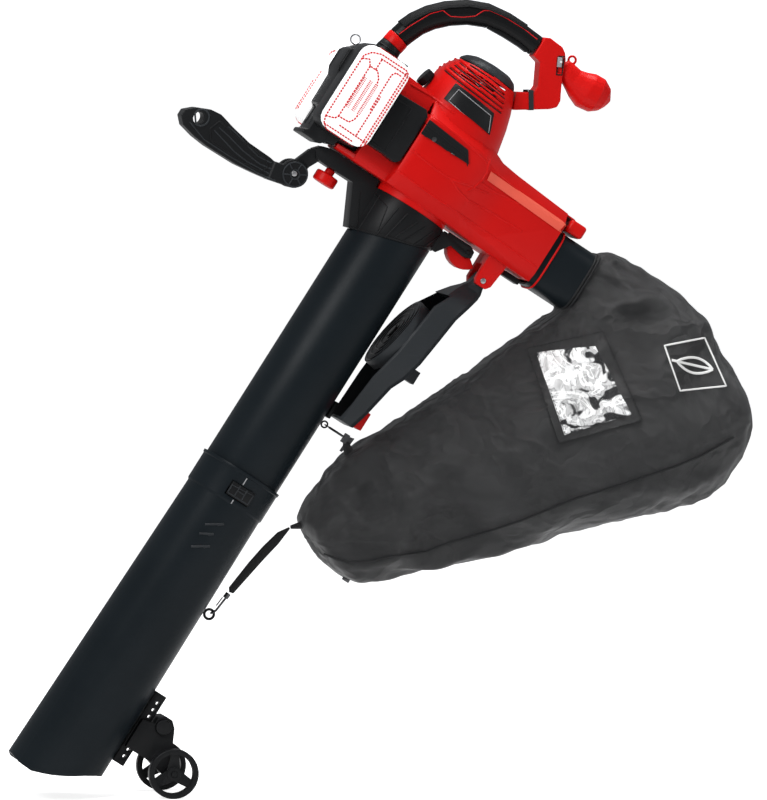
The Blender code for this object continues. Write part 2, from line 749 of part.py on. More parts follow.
def build_tubes():
    outer = ((TUBE_RADIUS, -5), (TUBE_RADIUS, TUBE_END_Z), (TUBE_INNER, TUBE_END_Z), (TUBE_INNER, -5))
    upper = turned("upper_tube", TUBE_AXIS_X, outer, TUBE)
    above = ((-110, seam_z(-110) - GAP), (90, seam_z(90) - GAP), (90, 60), (-110, 60))
    shape(upper, prism("seam_above", above, -CUTTER_REACH, CUTTER_REACH, cutter=True))
    spigot = ((SPIGOT_RADIUS, -12), (SPIGOT_RADIUS, -110), (SPIGOT_INNER, -110), (SPIGOT_INNER, -12))
    join(upper, turned("spigot_form", TUBE_AXIS_X, spigot, cutter=True))
    stations = (
        (COLLAR_TOP_Z, -3.5, 62.6), (COLLAR_TOP_Z - 4, -3.5, 62.2), (COLLAR_TOP_Z - 5, -3.5, 60.9),
        (-488, -3.5, 60.9), (-491, -3.5, 59), (-660, -4, 61), (-850, -5.5, 63.6), (NOZZLE_END_Z, -6.5, 66),
        (NOZZLE_END_Z, -6.5, 63.4), (-850, -5.5, 61), (-660, -4, 58.4), (-491, -3.5, 56.2),
        (COLLAR_STEP_Z - 1, -3.5, 56.2), (COLLAR_STEP_Z, -3.5, 58.5), (COLLAR_TOP_Z, -3.5, 58.5),
    )
    lower = loft("lower_tube", tube_rings(stations), TUBE, closed=True)
    shape(lower, prism("lip_cut", LIP_OUTLINE, -CUTTER_REACH, CUTTER_REACH, cutter=True))
    shape(lower, block("clip_window", (-20.5, -75, -482), (18.5, -50, -460), cutter=True))
    clip = block("coupling_clip", (-19.5, -63.6, -481), (17.5, -61, -461), BLACK)
    hinge_at(clip, -1, -471, -62)
    block("cover_catch", (55, -11, -312), (61.2, 11, -286), BLACK)


# ---------------------------------------------------------------- hooks, eyelets and strap

EYE_TOP = (61.0, -322.0)
EYE_LOW = (66.4, -637.0)
GATE_POINT = (70.6, -606.5)


def build_hooks():
    torus("upper_eyelet", (EYE_TOP[0], 0, EYE_TOP[1]), (0, 1, 0), 4.6, 1.3, BLACK)
    torus("lower_eyelet", (EYE_LOW[0], 0, EYE_LOW[1]), (0, 1, 0), 7, 2, BLACK)
    wire_x = EYE_TOP[0] + 4.6
    hook = torus("upper_hook", (wire_x, 0, EYE_TOP[1]), (0, 0, 1), 3.7, 1.0, BLACK)
    join(
        hook, rod("upper_bar", (wire_x + 3.4, 0, EYE_TOP[1]), (95, 0, EYE_TOP[1]), 1.7, sides=12, cutter=True)
    )
    join(hook, block("upper_slider", (94, -5, -330), (101, 5, -316), cutter=True))
    tab = ((100, -318), (109, -316), (108, -330), (103, -342), (100, -342))
    join(hook, prism("upper_tab", tab, -1.5, 1.5, cutter=True))
    outward = Vector((0.5, 0, math.sqrt(0.75)))
    wire = Vector((EYE_LOW[0], 0, EYE_LOW[1])) + outward * 7
    tangent = Vector((-outward.z, 0, outward.x))
    low = torus("lower_hook", wire, tangent, 4.4, 1.2, STEEL)
    root = wire + outward * 4.2
    join(low, rod("lower_shank", root, (74.6, 0, -603), 1.6, sides=12, cutter=True))
    join(low, rod("lower_swivel", (73.6, 0, -605.5), (74.2, 0, -597.4), 4, sides=12, cutter=True))
    gate = rod(
        "hook_gate", (GATE_POINT[0] - 2, 0, GATE_POINT[1] - 15), (GATE_POINT[0] - 0.7, 0, GATE_POINT[1]), 0.9, STEEL, sides=8
    )
    hinge_at(gate, *GATE_POINT)
    strap = (
        (70, -590), (75, -545), (80, -515), (87, -487), (97, -472), (99.5, -473), (97, -500), (91, -530),
        (86, -560), (80, -594), (74, -595.5),
    )
    prism("bag_strap", strap, -1.2, 1.2, CLOTH)


# ---------------------------------------------------------------- guide wheels

RAIL_X = (59.4, 77.0)
RAIL_Z = (-884.0, -769.0)
RAIL_HALF = 9.0
RAIL_HOLE_PITCH = 11.0
CARRIAGE_HALF = 22.0
CARRIAGE_OUTLINE = (
    (62, -813), (80, -809), (80, -799), (88, -792.5), (99, -792), (108, -800), (117, -818), (142, -847),
    (144, -855), (139, -863), (126, -864), (104, -858), (62, -858),
)


def build_wheels():
    rail = block("wheel_rail", (RAIL_X[0], -RAIL_HALF, RAIL_Z[0]), (RAIL_X[1], RAIL_HALF, RAIL_Z[1]), BLACK)
    for i in range(9):
        z = RAIL_Z[1] - 14 - RAIL_HOLE_PITCH * i
        shape(rail, rod(f"rail_hole_{i}", (71, -20, z), (71, 20, z), 3, sides=12, cutter=True))
    carriage = prism("wheel_carriage", CARRIAGE_OUTLINE, -CARRIAGE_HALF, CARRIAGE_HALF, BLACK)
    x, z = AXLE_POINT
    join(carriage, rod("axle_boss", (x, -41.5, z), (x, 41.5, z), 9, cutter=True))
    slot = block(
        "rail_slot", (50, -RAIL_HALF - GAP, -900), (RAIL_X[1] + GAP, RAIL_HALF + GAP, -760), cutter=True
    )
    shape(carriage, slot)
    shape(carriage, rod("axle_bore", (x, -50, z), (x, 50, z), 4.3, cutter=True))
    shape(carriage, rod("button_bore", (93, -30, -807), (93, -14, -807), 11.5, sides=MEDIUM, cutter=True))
    hinge_at(carriage, x, z)
    hinge_at(
        rod("carriage_button", (93, -27.5, -807), (93, -18.5, -807), 11, BLACK, sides=MEDIUM), 93, -807, -23
    )
    hinge_at(rod("axle", (x, -60, z), (x, 60, z), 4, STEEL), x, z)
    for name, side in (("left_wheel", -1), ("right_wheel", 1)):
        build_wheel(name, side * WHEEL_CENTRE_Y)


def build_wheel(name, centre_y):
    """Three-spoked wheel about an axle that runs along y."""
    x, z = AXLE_POINT
    rim = ((WHEEL_RADIUS, -WHEEL_HALF + 1.5),
        (WHEEL_RADIUS, WHEEL_HALF - 1.5), (WHEEL_RADIUS - 1.5, WHEEL_HALF),
           (28, WHEEL_HALF), (28, -WHEEL_HALF), (WHEEL_RADIUS - 1.5, -WHEEL_HALF))
    rings = []
    for radius, y in rim:
        rings.append([(x + a, centre_y + y, z + b) for a, b in oval((0, 0), radius, radius, FINE)])
    wheel = loft(name, rings, BLACK, closed=True)
    join(
        wheel, rod(f"{name}_hub", (x, centre_y - WHEEL_HALF, z), (x, centre_y + WHEEL_HALF, z), 10, cutter=True)
    )
    for i in range(3):
        angle = math.radians(120 * i)
        ahead = Vector((math.cos(angle), math.sin(angle)))
        side = Vector((-ahead.y, ahead.x))
        hub = Vector((x, z))
        corners = (ahead * 4 - side * 9, ahead * 30 - side * 6, ahead * 30 + side * 6, ahead * 4 + side * 9)
        spoke = prism(
            f"{name}_spoke_{i}", [tuple(hub + corner) for corner in corners], centre_y - 4, centre_y + 4, cutter=True
        )
        join(wheel, spoke)
    shape(wheel, rod(f"{name}_bore", (x, centre_y - 20, z), (x, centre_y + 20, z), 4.3, cutter=True))
    return hinge_at(wheel, x, z, centre_y)


# ---------------------------------------------------------------- intake cover

# height, front x, rear x, half width
COVER_SECTIONS = (
    (-21, 131, 145, 17),
    (-40, 127, 149, 17),
    (-48, 121, 151, 17),
    (-57, 114, 148, 30),
    (-75, 103, 140, 48),
    (-100, 89, 131, 58),
    (-140, 84, 126, 60),
    (-180, 79, 121, 60),
    (-210, 73, 114, 57),
    (-230, 70, 106, 50),
    (-280, 67, 98, 42),
    (-306, 65, 92, 36),
)
COVER_WALL = 3.0


def cover_ring(z, front, rear, half):
    soft = min(6, half / 3)
    return [
        (front, -half + soft, z), (front + soft, -half, z), (rear - soft, -half, z), (rear, -half + soft, z),
        (rear, half - soft, z), (rear - soft, half, z), (front + soft, half, z), (front, half - soft, z),
    ]


def build_cover():
    """Scoop that closes the intake, open towards the tube around its dished disc."""
    cover = loft("intake_cover", [cover_ring(*section) for section in COVER_SECTIONS], GREY)
    hollow = []
    for z, front, rear, half in COVER_SECTIONS[4:]:
        hollow.append(cover_ring(max(z, -302), front - 12, rear - COVER_WALL, half - COVER_WALL))
    shape(cover, loft("cover_hollow", hollow, cutter=True))
    join(cover, rod("closing_disc", (73, 0, -158), (90, 0, -161), 58, sides=FINE, cutter=True))
    join(cover, block("cover_boss", (104, -12, -207), (137, 12, -187), cutter=True))
    shape(cover, block("button_pocket", (80, -18.5, -304), (120, 18.5, -274), cutter=True))
    x, z = COVER_PIVOT
    shape(cover, rod("knuckle_bore", (x, -40, z), (x, 40, z), 4.3, cutter=True))
    hinge_at(cover, x, z)
    rod("cover_pin", (x, -33, z), (x, 33, z), 4, STEEL)
    hinge_at(block("cover_button", (89.5, -17.5, -303), (107, 17.5, -275), RED), 92, -288)


# ---------------------------------------------------------------- outlet and bag

# both edge points of each section, and its half width
BAG_SECTIONS = (
    ((258.5, 0), (258.5, 88), 43),
    ((259, -8), (284, 108), 50),
    ((250, -27), (345, 112), 64),
    ((238, -53), (440, 103), 86),
    ((230, -76), (506, 68), 98),
    ((221, -98), (562, 40), 110),
    ((212, -120), (592, -6), 115),
    ((202, -145), (600, -62), 118),
    ((191, -168), (588, -114), 118),
    ((177, -198), (554, -164), 117),
    ((164, -226), (518, -207), 115),
    ((140, -278), (452, -280), 108),
    ((109, -340), (385, -362), 98),
    ((101, -400), (300, -430), 84),
    ((101, -450), (226, -484), 60),
    ((119, -468), (166, -490), 25),
)


def build_outlet():
    rings = []
    for x, half_y, half_z in ((193, 45, 46), (257.5, 45, 46), (257.5, 42, 43), (193, 42, 43)):
        rings.append([(x, y, z) for y, z in oval((0, 44), half_y, half_z, MEDIUM, 4)])
    loft("bag_connector", rings, BLACK, closed=True)
    hinge_at(block("connector_latch", (162, -13, -6.5), (188, 13, 1.5), BLACK), 175, -3)


BAG_WALL = 3.0


def bag_ring(section, inset=0.0, shift=0.0):
    """Oval ring through both edge points of a bag section."""
    low, high = Vector(section[0]), Vector(section[1])
    middle, reach = (low + high) / 2, (high - low) / 2
    reach *= 1 - inset / reach.length
    ring = []
    for a, b in oval((0, 0), 1, section[2] - inset, COARSE, 2.6):
        point = middle + reach * a
        ring.append((point.x - shift, b, point.y))
    return ring


def build_bag():
    """Hollow cloth bag, open at its neck."""
    bag = loft("bag", [bag_ring(section) for section in BAG_SECTIONS], CLOTH)
    mouth = bag_ring(BAG_SECTIONS[0], BAG_WALL, shift=8)
    hollow = [mouth] + [bag_ring(section, BAG_WALL) for section in BAG_SECTIONS[:-1]]
    shape(bag, loft("bag_hollow", hollow, cutter=True))
    build_window(bag)
    slider = block("zip_slider", (203, -4, -494), (213, 4, -487.5), STEEL)
    hinge_at(slider, 208, -490)


WINDOW_CORNERS = ((291, -6), (396, -64), (345, -146), (250, -70))


def build_window(bag):
    """Clear film that follows the bag's left side."""
    bm = bmesh.new()
    cells = 12
    grid = []
    for r in range(cells + 1):
        line = []
        for c in range(cells + 1):
            top = Vector(WINDOW_CORNERS[0]).lerp(Vector(WINDOW_CORNERS[1]), c / cells)
            low = Vector(WINDOW_CORNERS[3]).lerp(Vector(WINDOW_CORNERS[2]), c / cells)
            x, z = top.lerp(low, r / cells)
            line.append(bm.verts.new(Vector((x, -160, z)) * MM))
        grid.append(line)
    for upper, lower in zip(grid, grid[1:]):
        for c in range(cells):
            bm.faces.new((upper[c], upper[c + 1], lower[c + 1], lower[c]))
    mesh_data = bpy.data.meshes.new("bag_window")
    bm.to_mesh(mesh_data)
    bm.free()
    window = place("bag_window", mesh_data, FILM)
    wrap = window.modifiers.new("lie_on_bag", "SHRINKWRAP")
    wrap.target = bag
    wrap.wrap_method = "PROJECT"
    wrap.use_project_y = True
    wrap.use_positive_direction = True
    wrap.use_negative_direction = False
    wrap.offset = 2.6 * MM
    skin = window.modifiers.new("thickness", "SOLIDIFY")
    skin.thickness = 0.6 * MM
    skin.offset = 0


build_housing()
build_cap()
build_trim()
build_motor()
build_dock()
build_handle()
build_speed_knob()
build_socket()
build_lock_knob()
build_latch()
build_front_handle()
build_tubes()
build_hooks()
build_wheels()
build_cover()
build_outlet()
build_bag()
bpy.context.view_layer.update()
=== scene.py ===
import json
import math

import bpy
from mathutils import Matrix, Vector, noise
from mathutils.bvhtree import BVHTree

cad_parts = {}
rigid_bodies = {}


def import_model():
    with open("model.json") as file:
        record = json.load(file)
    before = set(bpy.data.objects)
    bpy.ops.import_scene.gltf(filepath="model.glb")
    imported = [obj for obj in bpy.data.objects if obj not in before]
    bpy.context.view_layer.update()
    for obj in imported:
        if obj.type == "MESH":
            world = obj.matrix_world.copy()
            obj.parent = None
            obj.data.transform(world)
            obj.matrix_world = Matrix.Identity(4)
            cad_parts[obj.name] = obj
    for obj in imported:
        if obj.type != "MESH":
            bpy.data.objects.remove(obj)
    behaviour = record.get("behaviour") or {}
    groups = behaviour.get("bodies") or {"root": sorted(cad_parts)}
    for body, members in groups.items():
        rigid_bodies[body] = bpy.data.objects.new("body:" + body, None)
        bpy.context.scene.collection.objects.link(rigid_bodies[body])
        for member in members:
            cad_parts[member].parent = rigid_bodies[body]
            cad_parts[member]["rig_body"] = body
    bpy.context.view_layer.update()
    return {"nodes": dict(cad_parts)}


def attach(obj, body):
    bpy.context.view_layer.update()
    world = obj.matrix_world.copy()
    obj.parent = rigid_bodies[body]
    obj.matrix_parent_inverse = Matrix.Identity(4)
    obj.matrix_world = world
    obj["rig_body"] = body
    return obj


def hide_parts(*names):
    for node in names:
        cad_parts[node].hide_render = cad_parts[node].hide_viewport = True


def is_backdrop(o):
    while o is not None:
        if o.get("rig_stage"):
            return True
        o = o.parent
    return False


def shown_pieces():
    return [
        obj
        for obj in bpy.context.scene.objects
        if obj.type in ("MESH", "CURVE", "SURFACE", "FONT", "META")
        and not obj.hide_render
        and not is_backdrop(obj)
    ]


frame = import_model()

# ---------------------------------------------------------------- the machine's own frame

# x runs from the tube's front to its rear, y from the left side to the right, z up along the tube
MM = 0.001
TILT = math.radians(33)
TURN = Matrix.Rotation(TILT, 3, "Y")
GRIP_POINT = Vector((-0.010, 0.0, 0.2955))
ORIGIN = -(TURN @ GRIP_POINT)
LEAN = (0.0, TILT, 0.0)


def at(x, y, z):
    """Place of a machine point, given in millimetres."""
    return TURN @ (Vector((x, y, z)) * MM) + ORIGIN


def home(point):
    """Machine coordinates, in millimetres, of a place."""
    return (TURN.transposed() @ (point - ORIGIN)) / MM


# ---------------------------------------------------------------- camera, light and floor

VIEW_AZIMUTH = math.radians(-12)
VIEW_HEIGHT = math.radians(4.3)
VIEW_DISTANCE = 10.0
VIEW_WIDTH = 1.0891
SENSOR = 36.0
BACK = Vector((
    math.sin(VIEW_AZIMUTH) * math.cos(VIEW_HEIGHT),
    -math.cos(VIEW_AZIMUTH) * math.cos(VIEW_HEIGHT),
    math.sin(VIEW_HEIGHT),
))
RIGHT = Vector((math.cos(VIEW_AZIMUTH), math.sin(VIEW_AZIMUTH), 0.0))
UP = BACK.cross(RIGHT)
AIM = ORIGIN + RIGHT * -0.03763 + UP * -0.2698
EYE = AIM + BACK * VIEW_DISTANCE


def add_camera():
    bpy.context.scene.view_settings.view_transform = "Standard"
    camera = bpy.data.objects.new("camera", bpy.data.cameras.new("camera"))
    bpy.context.scene.collection.objects.link(camera)
    camera.location = EYE
    camera.rotation_mode = "QUATERNION"
    camera.rotation_quaternion = (-BACK).to_track_quat("-Z", "Y")
    camera.data.sensor_width = SENSOR
    camera.data.sensor_fit = "HORIZONTAL"
    camera.data.lens = SENSOR * VIEW_DISTANCE / VIEW_WIDTH
    camera.data.clip_start = 0.1
    camera.data.clip_end = 100
    bpy.context.scene.camera = camera


def add_lamp(name, place, aim, size, power):
    lamp = bpy.data.objects.new(name, bpy.data.lights.new(name, "AREA"))
    bpy.context.scene.collection.objects.link(lamp)
    lamp.location = place
    lamp.rotation_euler = (Vector(place) - Vector(aim)).to_track_quat("Z", "Y").to_euler()
    lamp.data.shape = "RECTANGLE"
    lamp.data.size, lamp.data.size_y = size
    lamp.data.energy = power
    lamp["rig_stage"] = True


# ---------------------------------------------------------------- finishes

class Wire:
    """A shader socket that takes part in sums."""

    def __init__(self, finish, socket):
        self.finish = finish
        self.socket = socket

    def math(self, operation, first, second=0.0):
        return self.finish.add("ShaderNodeMath", {"operation": operation}, {0: first, 1: second})

    def __add__(self, other):
        return self.math("ADD", self, other)

    def __radd__(self, other):
        return self.math("ADD", other, self)

    def __sub__(self, other):
        return self.math("SUBTRACT", self, other)

    def __rsub__(self, other):
        return self.math("SUBTRACT", other, self)

    def __mul__(self, other):
        return self.math("MULTIPLY", self, other)

    def size(self):
        return self.math("ABSOLUTE", self)

    def clipped(self):
        return self.finish.add("ShaderNodeClamp", {}, {0: self})

    def above(self, edge, softness):
        """0 below the edge, 1 above it, with a soft step between."""
        return ((self - edge) * (1 / softness)).clipped()


class Finish:
    """A procedural material around one Principled shader."""

    def __init__(self, name):
        self.material = bpy.data.materials.new(name)
        self.material.use_nodes = True
        self.tree = self.material.node_tree
        self.shader = self.tree.nodes["Principled BSDF"]

    def add(self, kind, settings, sockets, output=0):
        node = self.tree.nodes.new(kind)
        for key, value in settings.items():
            setattr(node, key, value)
        for key, value in sockets.items():
            self.feed(node.inputs[key], value)
        return Wire(self, node.outputs[output])

    def feed(self, socket, value):
        if isinstance(value, Wire):
            self.tree.links.new(value.socket, socket)
        else:
            socket.default_value = value

    def set(self, **values):
        for key, value in values.items():
            self.feed(self.shader.inputs[key.replace("_", " ")], value)

    def place(self, scale=(1, 1, 1), turn=(0, 0, 0)):
        coordinates = self.add("ShaderNodeTexCoord", {}, {}, 3)
        return self.add("ShaderNodeMapping", {}, {"Vector": coordinates, "Scale": scale, "Rotation": turn})

    def cloud(self, scale, detail=3.0, roughness=0.5, stretch=(1, 1, 1), swirl=0.0):
        return self.add("ShaderNodeTexNoise", {}, {
            "Vector": self.place(stretch), "Scale": scale, "Detail": detail, "Roughness": roughness,
            "Distortion": swirl,
        })

    def mix(self, share, first, second):
        return self.add(
            "ShaderNodeMix", {"data_type": "RGBA", "clamp_factor": True},
            {0: share, 6: first, 7: second}, 2,
        )

    def relief(self, height, distance, strength=1.0, below=None):
        sockets = {"Height": height, "Distance": distance, "Strength": strength}
        if below is not None:
            sockets["Normal"] = below
        return self.add("ShaderNodeBump", {}, sockets)


def rgb(red, green, blue):
    return (red, green, blue, 1.0)


def moulded(
    name, colour, roughness, grain, grain_depth, tint=0.12, coat=0.0, scuff=0.25, shine=0.25, glow=0.0,
):
    """Moulded plastic: faint flow marks, fine grain, handling haze and a few light scuffs; with glow set, the
    colour also glows as painted light.
    """
    made = Finish(name)
    flow = made.cloud(9, 4, 0.55)
    haze = made.cloud(34, 5, 0.6)
    scratches = made.cloud(60, 2, 0.5, (1, 1, 12)).above(0.66, 0.06) * made.cloud(7, 2).above(0.55, 0.1)
    base = tuple(c * (1 - tint) for c in colour)
    light = tuple(min(1.0, c * (1 + tint) + 0.004) for c in colour)
    body = made.mix(flow, rgb(*base), rgb(*light))
    dusty = tuple(c * 0.85 + 0.06 for c in colour)
    made.set(Base_Color=made.mix(scratches * scuff, body, rgb(*dusty)))
    made.set(Roughness=(roughness - 0.06 + haze * 0.12 + scratches * 0.12).clipped())
    made.set(Specular_IOR_Level=shine)
    if coat:
        made.set(Coat_Weight=coat, Coat_Roughness=0.12)
    # painted light: the colour glows as if lit, whatever the lamps do
    if glow:
        made.set(Emission_Color=body, Emission_Strength=glow)
    grainy = made.relief(made.cloud(grain, 2, 0.6), grain_depth, 0.6)
    made.set(Normal=made.relief(flow, 0.0006, 0.25, grainy))
    return made.material


def rubber(name, colour):
    """Soft-touch rubber with rows of fine dimples."""
    made = Finish(name)
    wear = made.cloud(14, 4)
    dimples = made.add(
        "ShaderNodeTexVoronoi", {"feature": "F1"},
        {"Vector": made.place(), "Scale": 420.0, "Randomness": 0.25},
    )
    darker = tuple(c * 0.75 for c in colour)
    lighter = tuple(c * 1.3 for c in colour)
    made.set(Base_Color=made.mix(wear, rgb(*darker), rgb(*lighter)))
    made.set(Roughness=(0.55 + wear * 0.25).clipped(), Specular_IOR_Level=0.1)
    made.set(Normal=made.relief(dimples, 0.0006, 0.8))
    return made.material


def woven(name, colour, pitch, depth, roughness, sheen=0.3, shine=0.25, slack=0.2):
    """Plain-woven cloth: crossing threads, slubs and a dusty bloom in soft patches."""
    made = Finish(name)
    place = made.place((1, 1, 1), LEAN)
    slub = made.cloud(90, 3)
    across, along = (
        made.add("ShaderNodeTexWave", {"wave_type": "BANDS", "bands_direction": direction}, {
            "Vector": place, "Scale": 0.5 / pitch, "Distortion": 0.6, "Detail": 1.0, "Detail Scale": 2.0,
        }, 1)
        for direction in ("X", "Z")
    )
    threads = across * 0.5 + along * 0.5
    bloom = made.cloud(5, 5, 0.6)
    speck = made.cloud(700, 2, 0.7)
    dark = tuple(c * 0.7 for c in colour)
    pale = tuple(c * 1.5 + 0.004 for c in colour)
    share = (threads * 0.45 + slub * 0.3 + bloom * 0.35 + speck * 0.25 - 0.3).clipped()
    made.set(Base_Color=made.mix(share, rgb(*dark), rgb(*pale)))
    made.set(Roughness=(roughness - 0.08 + bloom * 0.16 + threads * 0.06).clipped())
    made.set(Sheen_Weight=sheen, Sheen_Roughness=0.4, Specular_IOR_Level=shine)
    crumple = made.cloud(8, 3, 0.5, (1, 1, 1.3), 0.25)
    creased = (1 - (crumple * 2 - 1).size() * 6).clipped()
    soft = made.relief(creased * slack * 0.3 + crumple * slack, 0.03, 0.6, made.relief(slub, 0.001, 0.3))
    made.set(Normal=made.relief(threads + speck * 0.8, depth, 0.9, soft))
    return made.material


def brushed(name, colour, roughness):
    """Drawn metal with fine streaks and a little tarnish."""
    made = Finish(name)
    streaks = made.cloud(150, 3, 0.6, (1, 8, 1))
    tarnish = made.cloud(20, 4)
    dull = tuple(c * 0.7 for c in colour)
    made.set(Base_Color=made.mix(tarnish, rgb(*dull), rgb(*colour)), Metallic=1.0)
    made.set(Roughness=(roughness - 0.08 + streaks * 0.2).clipped())
    made.set(Normal=made.relief(streaks, 0.0002, 0.4))
    return made.material


def clear_film(name):
    """Crinkled clear film: glossy, partly see-through, with painted reflections (bright sheets and glints,
    which also glow) broken by sharp creases.
    """
    made = Finish(name)
    swirl = made.cloud(16, 2, 0.5, (1, 1, 1.4), 2.2)
    crinkle = made.cloud(34, 3, 0.5, (1.5, 1, 1), 1.4)
    across = made.add("ShaderNodeSeparateXYZ", {}, {0: made.place()}, 0)
    drift = ((across - 0.25) * 3.2).clipped()
    # painted reflections: bright sheets, thinning out as the object's x grows, and glints, put into the
    # colour and alpha
    painted_reflection_sheets = (swirl - drift).above(0.37, 0.05)
    creases = (1 - (crinkle * 2 - 1).size() * 15).clipped()
    glints = (1 - (swirl * 2 - 1.1).size() * 16).clipped()
    painted_reflections = (painted_reflection_sheets * (0.22 + crinkle * 1.05 - creases * 0.35) + glints * 0.8).clipped()
    made.set(Base_Color=made.mix(painted_reflections, rgb(0.05, 0.05, 0.053), rgb(0.98, 0.98, 0.98)))
    made.set(Roughness=(0.1 + crinkle * 0.2).clipped())
    made.set(Alpha=(0.35 + painted_reflections * 0.65).clipped())
    # the painted reflections also glow
    made.set(Emission_Color=made.mix(painted_reflections, rgb(0, 0, 0), rgb(1, 1, 1)), Emission_Strength=0.16)
    made.set(Coat_Weight=0.6, Coat_Roughness=0.05, IOR=1.5)
    made.set(Normal=made.relief(swirl + crinkle * 0.5, 0.01, 0.8))
    return made.material


FINISH = {
    "red": moulded("red_shell", (0.56, 0.0035, 0.0025), 0.36, 900, 0.00012, 0.08, 0.0, 0.03, 0.12),
    "black": moulded("black_shell", (0.0075, 0.008, 0.0088), 0.38, 1100, 0.00018, 0.2, 0.0, 0.08, 0.13),
    "gloss_black": moulded("gloss_black", (0.0045, 0.0047, 0.0052), 0.27, 600, 0.00005, 0.2, 0.0, 0.04, 0.14),
    "tube": moulded("tube_shell", (0.0065, 0.0098, 0.0125), 0.34, 1400, 0.00022, 0.16, 0.0, 0.06, 0.09),
    "grey": moulded("grey_shell", (0.022, 0.025, 0.028), 0.4, 1000, 0.00018, 0.16, 0.0, 0.08, 0.15),
    "soft": rubber("soft_grip", (0.008, 0.0082, 0.0088)),
    # the white pack glows faintly: painted light that keeps its shaded faces bright white
    "white": moulded("white_pack", (0.92, 0.92, 0.92), 0.45, 700, 0.0001, 0.02, 0.0, 0.0, 0.4, 0.35),
    "print_red": moulded("red_print", (0.6, 0.004, 0.008), 0.5, 800, 0.00005, 0.1, 0.0, 0.0),
    "print_white": moulded("white_print", (0.82, 0.82, 0.81), 0.55, 800, 0.00005, 0.05, 0.0, 0.1),
    "print_grey": moulded("grey_print", (0.3, 0.3, 0.31), 0.5, 800, 0.00005, 0.1, 0.0, 0.1),
    # painted highlight: a lighter salmon copy of the red shell, for the lit top band of the duct
    "painted_highlight_red": moulded("red_hood", (0.78, 0.11, 0.07), 0.4, 900, 0.00012, 0.08, 0.0, 0.03, 0.15),
    "cloth": woven("bag_cloth", (0.0115, 0.0117, 0.0128), 0.0016, 0.0009, 0.4, 0.04, 0.6, 1.6),
    "binding": woven("binding_tape", (0.014, 0.0144, 0.0155), 0.0011, 0.0004, 0.5, 0.04),
    "webbing": woven("strap_webbing", (0.012, 0.0122, 0.013), 0.002, 0.0006, 0.6, 0.1),
    "steel": brushed("steel", (0.56, 0.56, 0.57), 0.3),
    "dark_steel": brushed("dark_steel", (0.12, 0.12, 0.125), 0.35),
    "copper": brushed("winding_copper", (0.62, 0.3, 0.14), 0.38),
    "board": moulded("circuit_board", (0.012, 0.12, 0.04), 0.4, 500, 0.00005, 0.2, 0.3, 0.0),
    "film": clear_film("window_film"),
}

SLOT_OF = {
    "red": "red_plastic", "painted_highlight_red": "red_plastic", "black": "black_plastic", "gloss_black": "black_plastic",
    "tube": "tube_plastic", "grey": "grey_plastic", "soft": "soft_grip", "white": "pack_plastic",
    "cloth": "bag_cloth",
    "webbing": "strap_web", "binding": "strap_web", "steel": "steel", "dark_steel": "steel",
    "copper": "motor_metal", "board": "circuit_board", "film": "window_film",
}


# ---------------------------------------------------------------- tools for making pieces

def pick(piece):
    """Select one piece alone and make it active."""
    bpy.ops.object.select_all(action="DESELECT")
    piece.select_set(True)
    bpy.context.view_layer.objects.active = piece


def settle(piece, name):
    """Put a piece's place, turn and size into its mesh."""
    piece.name = name
    piece.data.name = name
    pick(piece)
    bpy.ops.object.transform_apply(location=True, rotation=True, scale=True)
    return piece


def apply_modifier(piece, kind, **settings):
    pick(piece)
    made = piece.modifiers.new(kind.lower(), kind)
    for key, value in settings.items():
        setattr(made, key, value)
    bpy.ops.object.modifier_apply(modifier=made.name)


def round_edges(piece, width, segments=2, angle=32):
    apply_modifier(
        piece, "BEVEL", width=width * MM, segments=segments, limit_method="ANGLE",
        angle_limit=math.radians(angle), miter_outer="MITER_SHARP",
    )


def smooth(piece, angle=35):
    pick(piece)
    bpy.ops.object.shade_smooth_by_angle(angle=math.radians(angle))


def paint(piece, finish):
    piece.data.materials.clear()
    piece.data.materials.append(FINISH[finish])
    finish in SLOT_OF


def mount(piece, finish, body, stands_for=()):
    paint(piece, finish)
    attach(piece, body)
    if stands_for:
        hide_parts(*stands_for)
    return piece


def block(name, low, high, edge=0.0, segments=2):
    low, high = Vector(low), Vector(high)
    middle, size = (low + high) / 2, high - low
    bpy.ops.object.select_all(action="DESELECT")
    bpy.ops.mesh.primitive_cube_add(size=1, location=at(*middle), rotation=LEAN)
    piece = bpy.context.object
    piece.scale = size * MM
    settle(piece, name)
    if edge:
        round_edges(piece, edge, segments)
    return piece


def pin(name, start, end, radius, sides=32, edge=0.0, end_radius=None):
    """A round bar or cone between two machine points."""
    first, last = at(*start), at(*end)
    reach = last - first
    bpy.ops.object.select_all(action="DESELECT")
    bpy.ops.mesh.primitive_cone_add(
        vertices=sides, radius1=radius * MM, radius2=(radius if end_radius is None else end_radius) * MM,
        depth=reach.length, location=(first + last) / 2, rotation=reach.to_track_quat("Z", "Y").to_euler(),
    )
    piece = settle(bpy.context.object, name)
    if edge:
        round_edges(piece, edge)
    return piece


def ring(name, centre, normal, radius, thickness, around=48, sides=12):
    direction = TURN @ Vector(normal)
    bpy.ops.object.select_all(action="DESELECT")
    bpy.ops.mesh.primitive_torus_add(
        location=at(*centre), rotation=direction.to_track_quat("Z", "Y").to_euler(),
        major_radius=radius * MM, minor_radius=thickness * MM, major_segments=around, minor_segments=sides,
    )
    return settle(bpy.context.object, name)


def unite(name, pieces):
    """Join loose pieces into one object."""
    bpy.ops.object.select_all(action="DESELECT")
    for piece in pieces:
        piece.select_set(True)
    bpy.context.view_layer.objects.active = pieces[0]
    bpy.ops.object.join()
    made = bpy.context.object
    made.name = name
    return made


